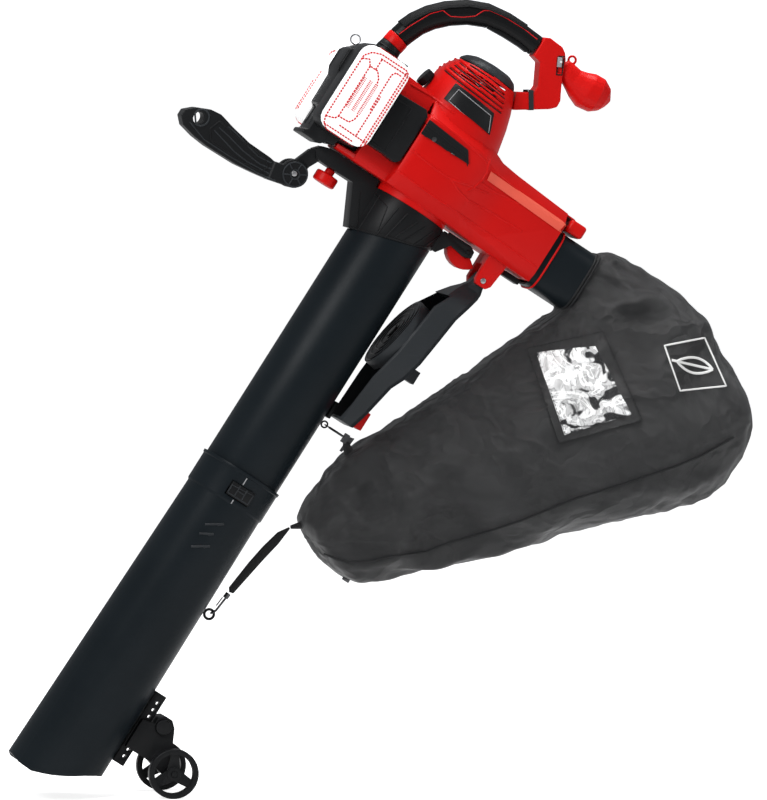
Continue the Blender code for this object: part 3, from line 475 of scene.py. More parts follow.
def twin(node, name):
    """A clean copy of a frame node's mesh: welded, with flat faces whole."""
    source = frame["nodes"][node]
    piece = bpy.data.objects.new(name, source.data.copy())
    bpy.context.scene.collection.objects.link(piece)
    pick(piece)
    bpy.ops.object.mode_set(mode="EDIT")
    bpy.ops.mesh.select_all(action="SELECT")
    bpy.ops.mesh.remove_doubles(threshold=0.00002)
    bpy.ops.mesh.dissolve_limited(angle_limit=math.radians(1.0))
    bpy.ops.object.mode_set(mode="OBJECT")
    return piece


def body_of(node):
    return frame["nodes"][node]["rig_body"]


def crisp(node, finish, edge=0.8, segments=2, angle=32, shade=35):
    """A moulded piece with small rounded edges, over its frame node."""
    piece = twin(node, f"{node}_shell")
    if edge:
        round_edges(piece, edge, segments, angle)
    smooth(piece, shade)
    return mount(piece, finish, body_of(node), (node,))


def melted(node, finish, voxel=1.2, rounds=8):
    """A softly rounded moulded piece, over its frame node."""
    piece = twin(node, f"{node}_shell")
    apply_modifier(piece, "REMESH", mode="VOXEL", voxel_size=voxel * MM)
    apply_modifier(piece, "SMOOTH", factor=0.5, iterations=rounds)
    pick(piece)
    bpy.ops.object.shade_smooth()
    return mount(piece, finish, body_of(node), (node,))


def skins(pieces):
    """Ray-casting trees over finished pieces."""
    made = []
    for piece in pieces:
        mesh = piece.data
        mesh.calc_loop_triangles()
        points = [piece.matrix_world @ v.co for v in mesh.vertices]
        made.append(BVHTree.FromPolygons(points, [tuple(t.vertices) for t in mesh.loop_triangles]))
    return made


def seen_on(trees, x, z, side=1):
    """Where the sight line through a point of the middle plane meets the pieces, and the normal there."""
    target = at(x, 0, z)
    eye = Vector((EYE.x, EYE.y * side, EYE.z))
    direction = (target - eye).normalized()
    best = None
    for tree in trees:
        place, normal, _, distance = tree.ray_cast(eye, direction)
        if place is not None and (best is None or distance < best[2]):
            best = (place, normal, distance)
    if best is None:
        return None
    return best[0], best[1] if best[1].dot(direction) < 0 else -best[1]


def stepped(points, step, closed=False):
    """The same line with points every step millimetres."""
    points = [Vector(p) for p in points]
    if closed:
        points.append(points[0])
    made = []
    for start, end in zip(points, points[1:]):
        count = max(1, round((end - start).length / step))
        made.extend(start.lerp(end, i / count) for i in range(count))
    made.append(points[-1])
    return made


def threads_through(name, runs, radius, closed=False):
    """Round threads along lists of places, as one mesh."""
    curve = bpy.data.curves.new(name, "CURVE")
    curve.dimensions = "3D"
    curve.bevel_depth = radius * MM
    curve.bevel_resolution = 3
    curve.use_fill_caps = True
    for run in runs:
        spline = curve.splines.new("POLY")
        spline.points.add(len(run) - 1)
        for point, place in zip(spline.points, run):
            point.co = (*place, 1.0)
        spline.use_cyclic_u = closed
    piece = bpy.data.objects.new(name, curve)
    bpy.context.scene.collection.objects.link(piece)
    pick(piece)
    bpy.ops.object.convert(target="MESH")
    piece = bpy.context.object
    bpy.ops.object.shade_smooth()
    return piece


def oval(x, z, half_width, half_height, count):
    """Points round an oval of the side view."""
    turns = [math.tau * i / count for i in range(count)]
    return [(x + half_width * math.cos(turn), z + half_height * math.sin(turn)) for turn in turns]


def unbroken(places, reach):
    """The stretches of a line that stay on one surface."""
    parts = [[]]
    for place in places:
        if parts[-1] and (place - parts[-1][-1]).length > reach * MM:
            parts.append([])
        parts[-1].append(place)
    return [part for part in parts if len(part) > 1]


# a longer gap than this between two points of a line is a jump to another surface
JUMP = 9.0


def line_on(
    name, lines, trees, radius, finish, body, lift=0.0, step=3.0, closed=False, dash=None, side=1,
):
    """Threads laid on the near side of finished pieces, along lines of the side view."""
    runs = []
    for line in lines:
        places = []
        for point in stepped(line, step, closed):
            met = seen_on(trees, point.x, point.y, side)
            if met:
                places.append(met[0] + met[1] * lift * MM)
        if closed and not dash:
            runs.append(places[:-1])
            continue
        for part in unbroken(places, JUMP):
            stride = sum(dash) if dash else len(part)
            length = dash[0] + 1 if dash else len(part)
            runs.extend(part[start:start + length] for start in range(0, len(part) - 1, stride))
    piece = threads_through(name, runs, radius, closed=closed and not dash)
    mount(piece, finish, body)


def both_sides(name, *rest, **more):
    """The same lines on the left and right of the machine."""
    line_on(f"left_{name}", *rest, **more)
    line_on(f"right_{name}", *rest, side=-1, **more)


# points and squareness of a hoop
HOOP_POINTS = 64
HOOP_POWER = 4.0


def hoop(name, ovals, radius, finish, body):
    """Closed threads around the outlet: each oval is x, middle height, half width and half height."""
    runs = []
    for x, middle, half_y, half_z in ovals:
        run = []
        for i in range(HOOP_POINTS):
            angle = math.tau * i / HOOP_POINTS
            c, s = math.cos(angle), math.sin(angle)
            y = half_y * math.copysign(abs(c) ** (2 / HOOP_POWER), c)
            z = half_z * math.copysign(abs(s) ** (2 / HOOP_POWER), s)
            run.append(at(x, y, middle + z))
        runs.append(run)
    mount(threads_through(name, runs, radius, closed=True), finish, body)


def stud_on(name, spots, trees, radius, height, finish, body, side=1):
    """Round heads that sit on the near side of finished pieces."""
    heads = []
    for x, z in spots:
        place, normal = seen_on(trees, x, z, side) or (at(x, 0, z), BACK)
        bpy.ops.object.select_all(action="DESELECT")
        bpy.ops.mesh.primitive_cylinder_add(
            vertices=24, radius=radius * MM, depth=height * MM, location=place,
            rotation=normal.to_track_quat("Z", "Y").to_euler(),
        )
        head = settle(bpy.context.object, name)
        round_edges(head, 0.3)
        heads.append(head)
    piece = unite(name, heads) if len(heads) > 1 else heads[0]
    smooth(piece)
    mount(piece, finish, body)


def sheet_on(name, corners, cells, trees, lift, thickness, finish, body, ripple=0.0):
    """A thin sheet that follows finished pieces inside a four-cornered field of the side view."""
    across, down = cells
    first, second, third, fourth = (Vector(corner) for corner in corners)
    points = []
    for row in range(down + 1):
        for column in range(across + 1):
            top = first.lerp(second, column / across)
            low = fourth.lerp(third, column / across)
            spot = top.lerp(low, row / down)
            place, normal = seen_on(trees, spot.x, spot.y) or (at(spot.x, 0, spot.y), BACK)
            edge = min(row, down - row, column, across - column) / 3
            wave = noise.noise(place * 42) + 0.5 * noise.noise(place * 110)
            points.append(place + normal * MM * (lift + ripple * wave * min(1.0, edge)))
    faces = []
    for row in range(down):
        for column in range(across):
            corner = row * (across + 1) + column
            faces.append((corner, corner + 1, corner + across + 2, corner + across + 1))
    mesh = bpy.data.meshes.new(name)
    mesh.from_pydata(points, [], faces)
    piece = bpy.data.objects.new(name, mesh)
    bpy.context.scene.collection.objects.link(piece)
    pick(piece)
    bpy.ops.object.mode_set(mode="EDIT")
    bpy.ops.mesh.select_all(action="SELECT")
    bpy.ops.mesh.normals_make_consistent(inside=False)
    bpy.ops.object.mode_set(mode="OBJECT")
    middle = mesh.polygons[len(mesh.polygons) // 2]
    if middle.normal.y > 0:
        mesh.flip_normals()
    apply_modifier(piece, "SOLIDIFY", thickness=thickness * MM, offset=1.0)
    smooth(piece, 40)
    return mount(piece, finish, body)


# ---------------------------------------------------------------- fan housing and trim

def make_housing():
    shells = [crisp("left_housing", "red", 1.1, 3), crisp("right_housing", "red", 1.1, 3)]
    melted("motor_cap", "grey", 1.2, 6)
    plate = crisp("name_plate", "black", 0.5)
    trees = skins([plate])
    border = [(-33.5, 181.5), (26.5, 175.5), (38, 151), (-37, 160)]
    line_on("name_plate_border", [border], trees, 0.55, "print_grey", "casing", closed=True)
    panels, covers = [], []
    for side in ("left", "right"):
        panels.append(crisp(f"{side}_vent_panel", "black", 0.4))
        covers.append(crisp(f"{side}_dock_cover", "black", 1.6, 3))
    skin = skins(shells)
    both_sides("louvre_fins", LOUVRE_FINS, skin, 2.1, "red", "casing", lift=0.6)
    # painted shade: dark lines between the fins for the shaded slots
    gap_shade_lines = [[(x + 0.8, z - 3.6) for x, z in fin] for fin in LOUVRE_FINS]
    both_sides("louvre_gaps", gap_shade_lines, skin, 1.2, "black", "casing", lift=-0.5)
    both_sides("shell_creases", SHELL_CREASES, skin, 2.0, "red", "casing", lift=-0.9)
    # a raised sheet in the lighter red along the duct's top; its colour is a painted highlight of the lit top
    # band
    sheet_on("hood_strip", HOOD_HIGHLIGHT_STRIP, (30, 4), skin, 0.9, 1.4, "painted_highlight_red", "casing")
    mount(block("hood_end", (200, -37, 94), (226, 37, 113.5), 4.5, 4), "red", "casing")
    vents = skins(panels)
    both_sides("vent_slats", VENT_SLATS, vents, 0.9, "black", "casing")
    edge = [(-61, 116), (10, 110), (26, 108), (37, 97)]
    both_sides("vent_rim", [edge], vents + skin, 0.7, "black", "casing")
    inset = [(-100, 122), (-77, 122), (-76, 120), (-76, 53), (-78, 51), (-100, 51)]
    both_sides("dock_cover_rim", [inset], skins(covers), 0.9, "black", "casing")
    for side, sign in (("left", 1), ("right", -1)):
        stud_on(f"{side}_vent_screws", [(-25, 103), (9, 100)], vents, 3.4, 1.6, "dark_steel", "casing", sign)


# lines of the side view
VENT_SLATS = (
    ((-57, 111), (-36, 109)), ((-57, 106), (-36, 104)), ((-57, 101), (-36, 100)),
    ((-14, 106), (0, 104.5)), ((-14, 101), (0, 100)),
)
# corners of the lighter red sheet on the duct's top, a painted highlight
HOOD_HIGHLIGHT_STRIP = ((69, 109), (206, 104), (203, 91), (71, 96))
LOUVRE_FINS = (
    ((-54, 218), (-40, 216), (0, 213), (29, 210)),
    ((-58, 211), (-42, 209), (0, 206), (32, 203)),
    ((-62, 204), (-45, 202), (0, 199), (34, 196)),
    ((-66, 197), (-48, 195), (0, 192), (36, 190)),
)
SHELL_CREASES = (
    ((60, 122), (66, 104), (66, 92), (62, 78), (56, 68)),
    ((66, 88), (92, 88), (110, 91), (130, 93)),
    ((-48, 37), (0, 35), (60, 34), (120, 33), (199, 31)),
    ((-96, 128), (-60, 131), (0, 126), (40, 121), (58, 116)),
    ((-97, 150), (-60, 152), (-20, 150)),
    ((68, 111), (138, 106), (200, 104)),
    ((-44, 73), (-1, 69), (26, 69), (59, 76), (83, 81)),
    ((26, 69), (45, 61), (65, 57), (93, 60), (154, 62)),
)


def make_pack(side):
    """One battery pack with its dashed outlines and rows of slots."""
    pack = crisp(f"{side}_battery", "white", 4.0, 4)
    crisp(f"{side}_battery_button", "red", 0.3)
    wrapped = skins([pack])
    body = f"{side}_battery_pack"
    hand = {"side": 1 if side == "left" else -1, "dash": (2, 1)}
    line_on(f"{side}_battery_stitches", PACK_LINES, wrapped, 1.15, "print_red", body, 0.2, 1.5, **hand)
    slots = []
    for x in SLOT_COLUMNS:
        for row in range(SLOT_ROWS):
            z = SLOT_START + row * SLOT_PITCH
            slots.append([(x - SLOT_HALF, z), (x + SLOT_HALF, z)])
            slots.append([(x - SLOT_HALF, z + SLOT_HALF), (x + SLOT_HALF, z + SLOT_HALF)])
    line_on(f"{side}_battery_slots", slots, wrapped, 0.75, "print_red", body, 0.2, 1.2, **hand)
    return pack


def make_dock():
    crisp("battery_dock", "black", 2.2, 3)
    make_pack("left")
    far_pack = make_pack("right")
    shoe = twin("left_battery", "left_battery_shoe")
    pick(shoe)
    bpy.ops.transform.resize(value=(1.012, 0.84, 1.012), center_override=at(*SHOE_CENTRE))
    settle(shoe, "left_battery_shoe")
    round_edges(shoe, 2.5, 3)
    smooth(shoe)
    mount(shoe, "black", "left_battery_pack")
    line_on(
        "right_battery_front", PACK_FRONT_LINES, skins([far_pack]), 1.1, "print_red", "right_battery_pack",
        0.2, 1.5, dash=(2, 1),
    )
    crisp("strap_ring", "steel", 0, shade=60)
    dock = skins([bpy.data.objects["battery_dock_shell"]])
    ridge = [(-202, 158), (-198, 146), (-198, 116), (-192, 104), (-191, 60), (-190, 24)]
    both_sides("dock_ridge", [ridge], dock, 1.2, "black", "casing")


# the dark inner body of the left pack grows from this point
SHOE_CENTRE = (-161, -31.5, 92.5)
SLOT_COLUMNS = (-157, -147, -137.5)
SLOT_ROWS = 10
SLOT_START = 74
SLOT_PITCH = 5.1
SLOT_HALF = 2.6
PACK_FRONT_LINES = (
    ((-214, 131), (-217, 128), (-218.5, 118), (-217, 26), (-215, 21)),
    ((-215, 96), (-215, 34)),
)
PACK_LINES = (
    ((-176, 46), (-176, 148), (-168, 158), (-155, 163), (-112, 163), (-104, 158), (-101.5, 150), (-101.5, 42),
     (-105, 36), (-112, 32), (-165, 32), (-173, 38), (-176, 46)),
    ((-123.5, 47), (-123.5, 112)),
    ((-110, 36), (-110, 160)),
    ((-106, 40), (-106, 158)),
    ((-152, 157.5), (-106, 157.5)),
    ((-152, 46), (-102, 45)),
    ((-172, 36.5), (-124, 36.5)),
    ((-150.5, 140), (-150.5, 158)),
    ((-160, 56), (-160, 140), (-147, 140), (-140, 132), (-137, 122)),
    ((-137, 72), (-138, 64), (-143, 57), (-160, 56), (-163, 51), (-175, 47)),
    ((-160, 140), (-166, 148), (-176, 143)),
    ((-126, 88), (-127, 146), (-123, 152), (-113, 152)),
)


# ---------------------------------------------------------------- main handle

def make_handle():
    collar = crisp("handle_collar", "black", 0.6)
    crisp("handle_band", "red", 0.6)
    grip = melted("main_grip", "gloss_black", 1.2, 3)
    pad = crisp("grip_pad", "soft", 0.4, shade=50)
    both_sides("collar_ribs", [[(-166, 171), (-136, 170)], [(-165, 176), (-135, 175)]], skins([collar]), 1.1,
               "black", "casing")
    both_sides("grip_pinstripe", [GRIP_LINE], skins([grip, pad]), 0.65, "print_red", "casing", lift=0.1)
    crisp("trigger", "black", 1.2, 3)
    post = melted("handle_post", "red", 1.1, 5)
    crisp("post_band", "grey", 0.4)
    switch = crisp("power_switch", "print_grey", 0.5)
    rim = [(64, 300), (71, 304), (82, 280), (75, 276)]
    line_on("switch_rim", [rim], skins([post]), 1.0, "black", "casing", closed=True)
    stud_on("switch_dot", [(71, 295)], skins([switch]), 1.6, 0.8, "print_white", "switch_body")
    melted("rear_pommel", "red", 1.1, 3)
    crisp("speed_knob", "black", 1.2, 3)


GRIP_LINE = (
    (-150, 198), (-142, 219), (-127, 249), (-114, 263), (-100, 262), (-84, 271),
    (-70, 282), (-64, 295), (-56, 300), (-30, 304), (0, 305), (24, 303),
)


# ---------------------------------------------------------------- tubes, socket and front handle

def make_front_handle():
    handle = melted("front_handle", "black", 1.2, 4)
    crisp("front_handle_bolt", "steel", 0.6)
    held = skins([handle])
    body = "front_handle_body"
    both_sides("handle_channel_rim", [HANDLE_CHANNEL], held, 1.3, "black", body, closed=True)
    # painted highlights: grey threads on the black handle for the light caught by its ribs, edges, hole rim
    # and hub
    both_sides("handle_channel_ribs", HANDLE_RIBS, held, 1.0, "grey", body)
    hole = oval(-325, -52, 11, 12, 18)
    both_sides("handle_hole_rim", [hole], held, 1.5, "grey", body, closed=True)
    x, z = HANDLE_HUB
    inner, outer = oval(x, z, 6, 6, 12)[1::2], oval(x, z, 17, 17, 12)[1::2]
    both_sides("handle_hub_ribs", list(zip(inner, outer)), held, 1.1, "grey", body)
    rims = [oval(x, z, radius, radius, 24) for radius in (6.5, 17.5)]
    both_sides("handle_hub_rims", rims, held, 1.2, "grey", body, closed=True)


def make_tubes():
    socket = crisp("tube_socket", "black", 1.0, 2)
    crisp("upper_tube", "tube", 0.5)
    lower = crisp("lower_tube", "tube", 0.7)
    clip = crisp("coupling_clip", "black", 0.5)
    crisp("cover_catch", "black", 1.0)
    crisp("lock_knob", "red", 1.5, 3, 28)
    crisp("tube_latch", "red", 1.4, 3)
    crisp("latch_pin", "black", 0.6)
    make_front_handle()
    held = skins([socket])
    both_sides("socket_ribs", SOCKET_RIBS, held, 1.3, "black", "casing")
    both_sides("socket_creases", SOCKET_CREASES, held, 0.8, "black", "casing")
    tubes = skins([lower])
    # painted highlights: grey chevrons on the dark tube for the light caught by its raised chevrons
    both_sides("tube_chevrons", CHEVRONS, tubes, 1.7, "grey", "casing", lift=-0.3)
    both_sides("tube_marks", TUBE_MARKS, tubes, 0.9, "print_grey", "casing")
    held = skins([clip])
    # painted highlights: grey threads on the black clip for the light caught by its raised frame and bars
    line_on("clip_rim", [CLIP_RIM], held, 0.9, "grey", "clip_body", closed=True)
    line_on("clip_bars", CLIP_BARS, held, 1.0, "grey", "clip_body")


HANDLE_HUB = (-167.5, -47)
HANDLE_CHANNEL = (
    (-300, -42), (-270, -47), (-215, -52), (-206, -60), (-212, -70), (-250, -74), (-296, -72), (-306, -58),
)
# lines of the grey painted highlights along the handle's channel and edges
HANDLE_RIBS = (
    ((-286, -42), (-270, -44), (-250, -49), (-227, -54), (-206, -52)),
    ((-296, -50), (-277, -53), (-250, -59), (-220, -62), (-200, -59)),
    ((-300, -57), (-283, -61), (-259, -67), (-236, -69), (-200, -66)),
    ((-336, -66), (-305, -76), (-257, -76), (-215, -74), (-186, -70)),
)
SOCKET_RIBS = (
    ((18, -8), (3, -45)), ((32, -8), (15, -44)), ((45, -8), (32, -38)), ((56, -8), (46, -32)),
    ((0, -6), (-9, -52)), ((-16, -6), (-22, -56)),
)
SOCKET_CREASES = (
    ((-48, -5), (-48, -62)),
    ((-75, -18), (-62, -42), (-50, -63)),
    ((-58, -8), (-30, -14), (-22, -56)),
    ((-62, -66), (-50, -64), (-10, -49), (30, -39), (45, -33), (55, -27)),
)
CHEVRONS = (
    ((-8, -533), (15, -518)), ((-8, -548), (10, -538)), ((-8, -570), (15, -555)),
    ((15, -518), (8, -524)), ((10, -538), (4, -543)), ((15, -555), (8, -561)),
)
TUBE_MARKS = (((8, -446), (8, -457)), ((8, -479), (8, -488)))
CLIP_RIM = ((-5, -459), (29, -459), (29, -477), (-5, -477))
CLIP_BARS = (((6, -460), (6, -476)), ((18, -460), (18, -476)), ((6, -468), (18, -468)))


# ---------------------------------------------------------------- hooks and strap

def make_hooks():
    for node, finish in (
        ("upper_eyelet", "black"), ("lower_eyelet", "black"), ("upper_hook", "dark_steel"),
        ("lower_hook", "dark_steel"), ("hook_gate", "dark_steel"),
    ):
        crisp(node, finish, 0, shade=55)
    crisp("bag_strap", "webbing", 0.3)


# ---------------------------------------------------------------- guide wheels

def make_wheels():
    crisp("wheel_rail", "black", 0.8)
    crisp("wheel_carriage", "black", 1.8, 3)
    crisp("carriage_button", "black", 1.2, 3)
    crisp("axle", "black", 0.8)
    for side in ("left", "right"):
        crisp(f"{side}_wheel", "black", 1.0, 2)


# ---------------------------------------------------------------- intake cover

def make_cover():
    crisp("intake_cover", "grey", 1.6, 3)
    normal = Vector((17, 0, -3)).normalized()
    face = tuple(Vector((73, 0, -158)) + normal * 0.2)
    rings = [ring("disc_ring", face, normal, radius, 1.3, 64, 8) for radius in (54, 44, 34, 24, 13)]
    rings.append(pin("disc_hub", (70.5, 0, -157.6), (73.5, 0, -158.1), 9, 32, 0.8))
    disc = unite("cover_disc_rings", rings)
    smooth(disc, 40)
    mount(disc, "gloss_black", "cover_body")
    crisp("cover_pin", "steel", 0.5)
    crisp("cover_button", "red", 1.2, 3)


# ---------------------------------------------------------------- outlet and bag

# both edge points of each section of the bag, and its half width
BAG_SECTIONS = (
    ((257.5, 1), (257.5, 87), 42.5),
    ((259, -7), (283, 107), 50),
    ((250, -27), (344, 111), 64),
    ((238, -53), (439, 102), 86),
    ((230, -76), (505, 67), 98),
    ((221, -98), (561, 39), 109),
    ((212, -120), (591, -6), 114),
    ((202, -145), (599, -62), 117),
    ((191, -168), (587, -114), 117),
    ((177, -198), (549, -160), 116),
    ((164, -226), (510, -199), 114),
    ((140, -278), (441, -267), 107),
    ((110, -340), (372, -346), 97),
    ((102, -400), (294, -421), 83),
    ((102, -449), (225, -483), 59),
    ((120, -467), (165, -489), 24),
)
# the share of that width that the cloth starts from, and how square a section is
SLACK_WIDTH = 0.93
BAG_POWER = 2.6
BAG_AROUND = 72
BAG_ALONG = 5
SETTLING_STEPS = 30


def bag_form():
    """The bag's outer form as rings that follow its sections."""
    rows = [(Vector(low), Vector(high), half * SLACK_WIDTH) for low, high, half in BAG_SECTIONS]
    rings = []
    last = len(rows) - 1
    for i in range(last):
        for k in range(BAG_ALONG):
            t = k / BAG_ALONG
            near = [rows[max(0, i - 1)], rows[i], rows[i + 1], rows[min(last, i + 2)]]
            rings.append([flowing([row[part] for row in near], t) for part in range(3)])
    rings.append(list(rows[last]))
    points = []
    for low, high, half in rings:
        middle, reach = (low + high) / 2, (high - low) / 2
        for j in range(BAG_AROUND):
            angle = math.tau * j / BAG_AROUND
            c, s = math.cos(angle), math.sin(angle)
            across = math.copysign(abs(c) ** (2 / BAG_POWER), c)
            side = math.copysign(abs(s) ** (2 / BAG_POWER), s)
            spot = middle + reach * across
            points.append(at(spot.x, side * half, spot.y))
    faces = []
    for i in range(len(rings) - 1):
        for j in range(BAG_AROUND):
            k = (j + 1) % BAG_AROUND
            a, b = i * BAG_AROUND, (i + 1) * BAG_AROUND
            faces.append((a + j, b + j, b + k, a + k))
    for start in (0, (len(rings) - 1) * BAG_AROUND):
        faces.append(tuple(range(start, start + BAG_AROUND)))
    mesh = bpy.data.meshes.new("bag_body")
    mesh.from_pydata(points, [], faces)
    bag = bpy.data.objects.new("bag_body", mesh)
    bpy.context.scene.collection.objects.link(bag)
    pick(bag)
    bpy.ops.object.mode_set(mode="EDIT")
    bpy.ops.mesh.select_all(action="SELECT")
    bpy.ops.mesh.normals_make_consistent(inside=False)
    bpy.ops.mesh.select_all(action="DESELECT")
    bpy.ops.object.mode_set(mode="OBJECT")
    for polygon in mesh.polygons:
        polygon.select = len(polygon.vertices) > 4
    bpy.ops.object.mode_set(mode="EDIT")
    bpy.ops.mesh.poke()
    bpy.ops.object.mode_set(mode="OBJECT")
    return bag


def flowing(values, t):
    """A smooth curve through four values, between the middle two."""
    a, b, c, d = values
    square = (a * 2 - b * 5 + c * 4 - d) * t * t
    cube = (b * 3 - a - c * 3 + d) * t * t * t
    return (b * 2 + (c - a) * t + square + cube) * 0.5


def drape(bag):
    """Let the filled cloth settle between its neck, its hooks and the air inside it."""
    pins = bag.vertex_groups.new(name="held")
    for vertex in bag.data.vertices:
        x, y, z = home(bag.matrix_world @ vertex.co)
        neck = 1 - min(1.0, max(0.0, (x - 262) / 30)) if z > -15 else 0.0
        hook = 1 - min(1.0, math.hypot(x - 105, z + 345) / 22)
        foot = 1 - min(1.0, math.hypot(x - 115, z + 468) / 26)
        seam = 0.95 * (1 - min(1.0, abs(y) / 70))
        pins.add([vertex.index], max(neck, hook, foot, seam, 0.1), "REPLACE")
    cloth = bag.modifiers.new("cloth", "CLOTH")
    rules = cloth.settings
    rules.quality = 6
    rules.mass = 0.2
    rules.tension_stiffness = 25
    rules.compression_stiffness = 25
    rules.shear_stiffness = 12
    rules.bending_stiffness = 0.35
    rules.tension_damping = 15
    rules.compression_damping = 15
    rules.shear_damping = 10
    rules.air_damping = 3
    rules.use_pressure = True
    rules.uniform_pressure_force = 1.2
    rules.vertex_group_mass = "held"
    rules.pin_stiffness = 1.0
    rules.shrink_min = -0.05
    rules.effector_weights.gravity = 0.15
    cloth.point_cache.frame_start = 1
    cloth.point_cache.frame_end = SETTLING_STEPS
    for moment in range(1, SETTLING_STEPS + 1):
        bpy.context.scene.frame_set(moment)
    pick(bag)
    bpy.ops.object.modifier_apply(modifier=cloth.name)
    bpy.context.scene.frame_set(1)
    bag.vertex_groups.clear()


# start, end, half width and depth of the folds, as lines of the side view
FOLDS = (
    ((262, 84), (330, 96), 7, 3.5),
    ((262, 66), (352, 62), 9, 4.0),
    ((300, 20), (378, 104), 11, -4.5),
    ((262, 30), (318, -10), 9, 3.5),
    ((262, 12), (285, -46), 8, 3.0),
    ((318, 30), (420, 92), 10, 3.5),
    ((246, -40), (262, -120), 9, 2.5),
    ((470, -150), (585, -60), 14, 3.0),
    ((440, -190), (560, -120), 12, -3.0),
    ((300, -200), (420, -250), 16, 3.0),
    ((250, -260), (400, -300), 18, -3.5),
    ((180, -260), (330, -360), 16, 3.5),
    ((150, -330), (300, -390), 13, -3.5),
    ((115, -360), (220, -440), 12, 4.0),
    ((108, -420), (180, -455), 10, -3.0),
    ((200, -180), (260, -240), 12, 2.5),
    ((480, 40), (560, -20), 14, 2.5),
)


def fold_depth(x, z):
    """How far the folds pull the cloth in at a point of the side view."""
    total = 0.0
    spot = Vector((x, z))
    for start, end, half, depth in FOLDS:
        first, reach = Vector(start), Vector(end) - Vector(start)
        t = min(1.0, max(0.0, (spot - first).dot(reach) / reach.length_squared))
        bend = 9 * math.sin(t * math.pi)
        side = Vector((-reach.y, reach.x)).normalized()
        away = abs((spot - first - reach * t).dot(side) - bend * 0.5)
        overshoot = (spot - first - reach * t).length
        away = max(away, overshoot * 0.8) if t in (0.0, 1.0) else away
        ends = math.sin(min(1.0, max(0.0, t)) * math.pi) ** 0.6 if 0 < t < 1 else 0.0
        total += 1.5 * depth * ends * math.exp(-(away / half) ** 2)
    return total


def crease(bag):
    """Work the folds, puckers and slack of the cloth into the mesh."""
    mesh = bag.data
    mesh.update()
    moved = []
    for vertex in mesh.vertices:
        spot = home(vertex.co)
        side = 1 if spot.y < 0 else -1
        weight = min(1.0, abs(spot.y) / 45)
        depth = fold_depth(spot.x + (0 if side > 0 else 14), spot.z) * weight
        slack = noise.noise(Vector((spot.x * 0.012, spot.y * 0.018, spot.z * 0.02)) + Vector((3, 7, 1)))
        ripple = noise.noise(Vector((spot.x + spot.z, spot.y, (spot.z - spot.x) * 0.4)) * 0.05)
        slant = Vector((spot.x * 0.02 + spot.z * 0.011, side * 2, spot.z * 0.017 - spot.x * 0.006))
        fold = noise.noise(slant)
        ridge = (1 - min(1.0, abs(fold) * 5)) ** 2 * weight
        moved.append(vertex.co - vertex.normal * MM * (depth + 2.6 * slack + 1.2 * ripple - 2.4 * ridge))
    for vertex, place in zip(mesh.vertices, moved):
        vertex.co = place
    mesh.update()


def make_window(trees):
    """The clear window in its stitched frame."""
    window = sheet_on("bag_window_film", FILM, (30, 30), trees, 1.4, 0.4, "film", "casing", 1.3)
    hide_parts("bag_window")
    bindings = []
    for i in range(4):
        k = (i + 1) % 4
        corners = (FRAME_OUTER[i], FRAME_OUTER[k], FRAME_INNER[k], FRAME_INNER[i])
        bindings.append(sheet_on(f"window_binding_{i}", corners, (26, 4), trees, 0.4, 1.0, "cloth", "casing"))
    bound = trees + skins(bindings)
    line_on(
        "window_stitches", [FRAME_OUTER, FRAME_INNER], bound, 0.55, "binding", "casing", 0.3, 2.0,
        closed=True, dash=(2, 1),
    )


def make_mark(trees):
    """A plain leaf in a square."""
    line_on("mark_outline", [MARK_SQUARE], trees, 1.35, "print_white", "casing", 0.1, closed=True)
    stem, tip = Vector((449, 28)), Vector((500, 46))
    across = Vector((tip.y - stem.y, stem.x - tip.x)).normalized()
    leaf = []
    for bulge in (-11, 11):
        shares = [i / 12 for i in range(13)]
        leaf.append([stem.lerp(tip, t) + across * bulge * math.sin(math.pi * t) ** 0.8 for t in shares])
    leaf.append([stem - (tip - stem) * 0.15, tip])
    line_on("mark_leaf", leaf, trees, 1.9, "print_white", "casing", 0.1, step=2.0)


def make_bag():
    crisp("bag_connector", "tube", 1.2, 3)
    crisp("connector_latch", "black", 0.6)
    hoop("outlet_rim", [(202.5, 44, 45.6, 46.6)], 1.5, "red", "casing")
    hoop("neck_elastic", [(259, 44, 44.5, 45.5), (263, 44.5, 45.5, 47.5)], 1.6, "binding", "casing")
    bag = bag_form()
    drape(bag)
    apply_modifier(bag, "SUBSURF", levels=1, render_levels=1)
    crease(bag)
    apply_modifier(bag, "SUBSURF", levels=1, render_levels=1)
    pick(bag)
    bpy.ops.object.shade_smooth()
    mount(bag, "cloth", "casing", ("bag",))
    trees = skins([bag])
    make_window(trees)
    line_on("bag_seam_piping", [SEAM], trees, 1.7, "binding", "casing", 0.2)
    make_mark(trees)
    crisp("zip_slider", "dark_steel", 0.6)
    for name, start, end, wide, narrow in TABS:
        mount(pin(name, start, end, wide, 20, 0.8, narrow), "cloth", "casing")


# lines and corners of the side view
FILM = ((335, -18), (434, -72), (366, -149), (267, -72))
FRAME_OUTER = ((333, 6), (452, -70), (366, -163), (252, -74))
FRAME_INNER = ((335, -20), (432, -72), (366, -147), (269, -72))
MARK_SQUARE = ((465, 78), (530, 37), (476, -5), (421, 37))
SEAM = (
    (162, -477), (197, -470), (225, -450), (245, -430), (285, -397), (305, -370), (340, -332),
    (380, -285), (430, -217), (480, -160), (530, -100), (555, -65), (580, -20),
)
# tapered cloth tabs: name, both ends and both radii
TABS = (
    ("strap_tab", (99, 0, -471), (124, 0, -448), 2.6, 9.0),
    ("hook_tab", (101, 0, -327), (128, 0, -350), 4.5, 11.0),
)


# ---------------------------------------------------------------- motor and fan

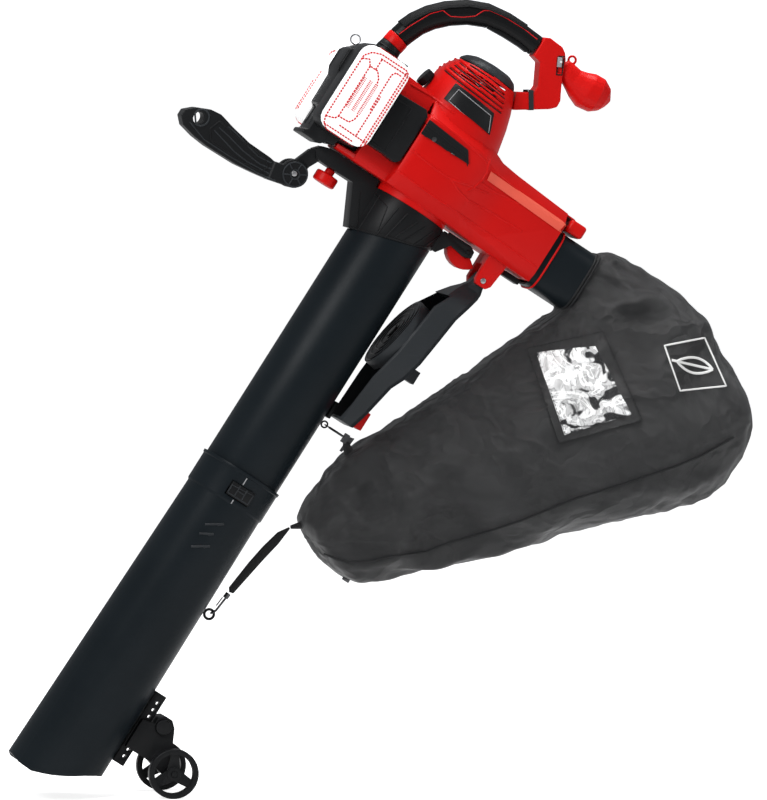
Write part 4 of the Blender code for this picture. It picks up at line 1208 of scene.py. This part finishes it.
def make_motor():
    for node, finish in (
        ("motor_stator", "copper"), ("motor_rotor", "steel"), ("lower_bearing", "steel"),
        ("upper_bearing", "steel"), ("impeller", "grey"), ("control_board", "board"),
    ):
        crisp(node, finish, 0.3)


# ---------------------------------------------------------------- stage

ROOM_LIGHT = 0.26
BACKDROP_LIGHT = 1.3
FLOOR_GLOW = 0.8
FLOOR_SIZE = 60
LAMPS = (
    ("left_softbox", (-1.9, -1.7, 1.3), (0, 0, -0.3), (1.1, 1.6), 55),
    ("right_softbox", (2.4, -1.8, 0.6), (0.1, 0, -0.3), (0.8, 1.6), 14),
    ("top_softbox", (0.1, 0.2, 2.0), (0.1, 0, -0.3), (1.6, 1.6), 72),
)


def make_stage():
    low = min((o.matrix_world @ Vector(corner)).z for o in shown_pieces() for corner in o.bound_box)
    bpy.ops.object.select_all(action="DESELECT")
    bpy.ops.mesh.primitive_plane_add(size=FLOOR_SIZE, location=(0, 0, low))
    floor = settle(bpy.context.object, "floor")
    made = Finish("pale_floor")
    cloud = made.cloud(1.5, 3)
    made.set(Base_Color=made.mix(cloud, rgb(0.88, 0.88, 0.88), rgb(0.92, 0.92, 0.92)), Roughness=0.7)
    seen = made.add("ShaderNodeLightPath", {}, {}, 0)
    made.set(Emission_Color=made.mix(seen, rgb(0.15, 0.15, 0.15), rgb(1.0, 1.0, 1.0)))
    made.set(Emission_Strength=FLOOR_GLOW)
    floor.data.materials.append(made.material)
    floor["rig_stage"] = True
    world = bpy.data.worlds.new("studio")
    bpy.context.scene.world = world
    world.use_nodes = True
    tree = world.node_tree
    tree.nodes["Background"].inputs["Color"].default_value = rgb(0.95, 0.97, 1.0)
    path = tree.nodes.new("ShaderNodeLightPath")
    level = tree.nodes.new("ShaderNodeMapRange")
    level.inputs["To Min"].default_value = ROOM_LIGHT
    level.inputs["To Max"].default_value = BACKDROP_LIGHT
    tree.links.new(path.outputs["Is Camera Ray"], level.inputs["Value"])
    tree.links.new(level.outputs["Result"], tree.nodes["Background"].inputs["Strength"])
    for lamp in LAMPS:
        add_lamp(*lamp)


make_housing()
make_dock()
make_handle()
make_tubes()
make_hooks()
make_wheels()
make_cover()
make_bag()
make_motor()
make_stage()
add_camera()
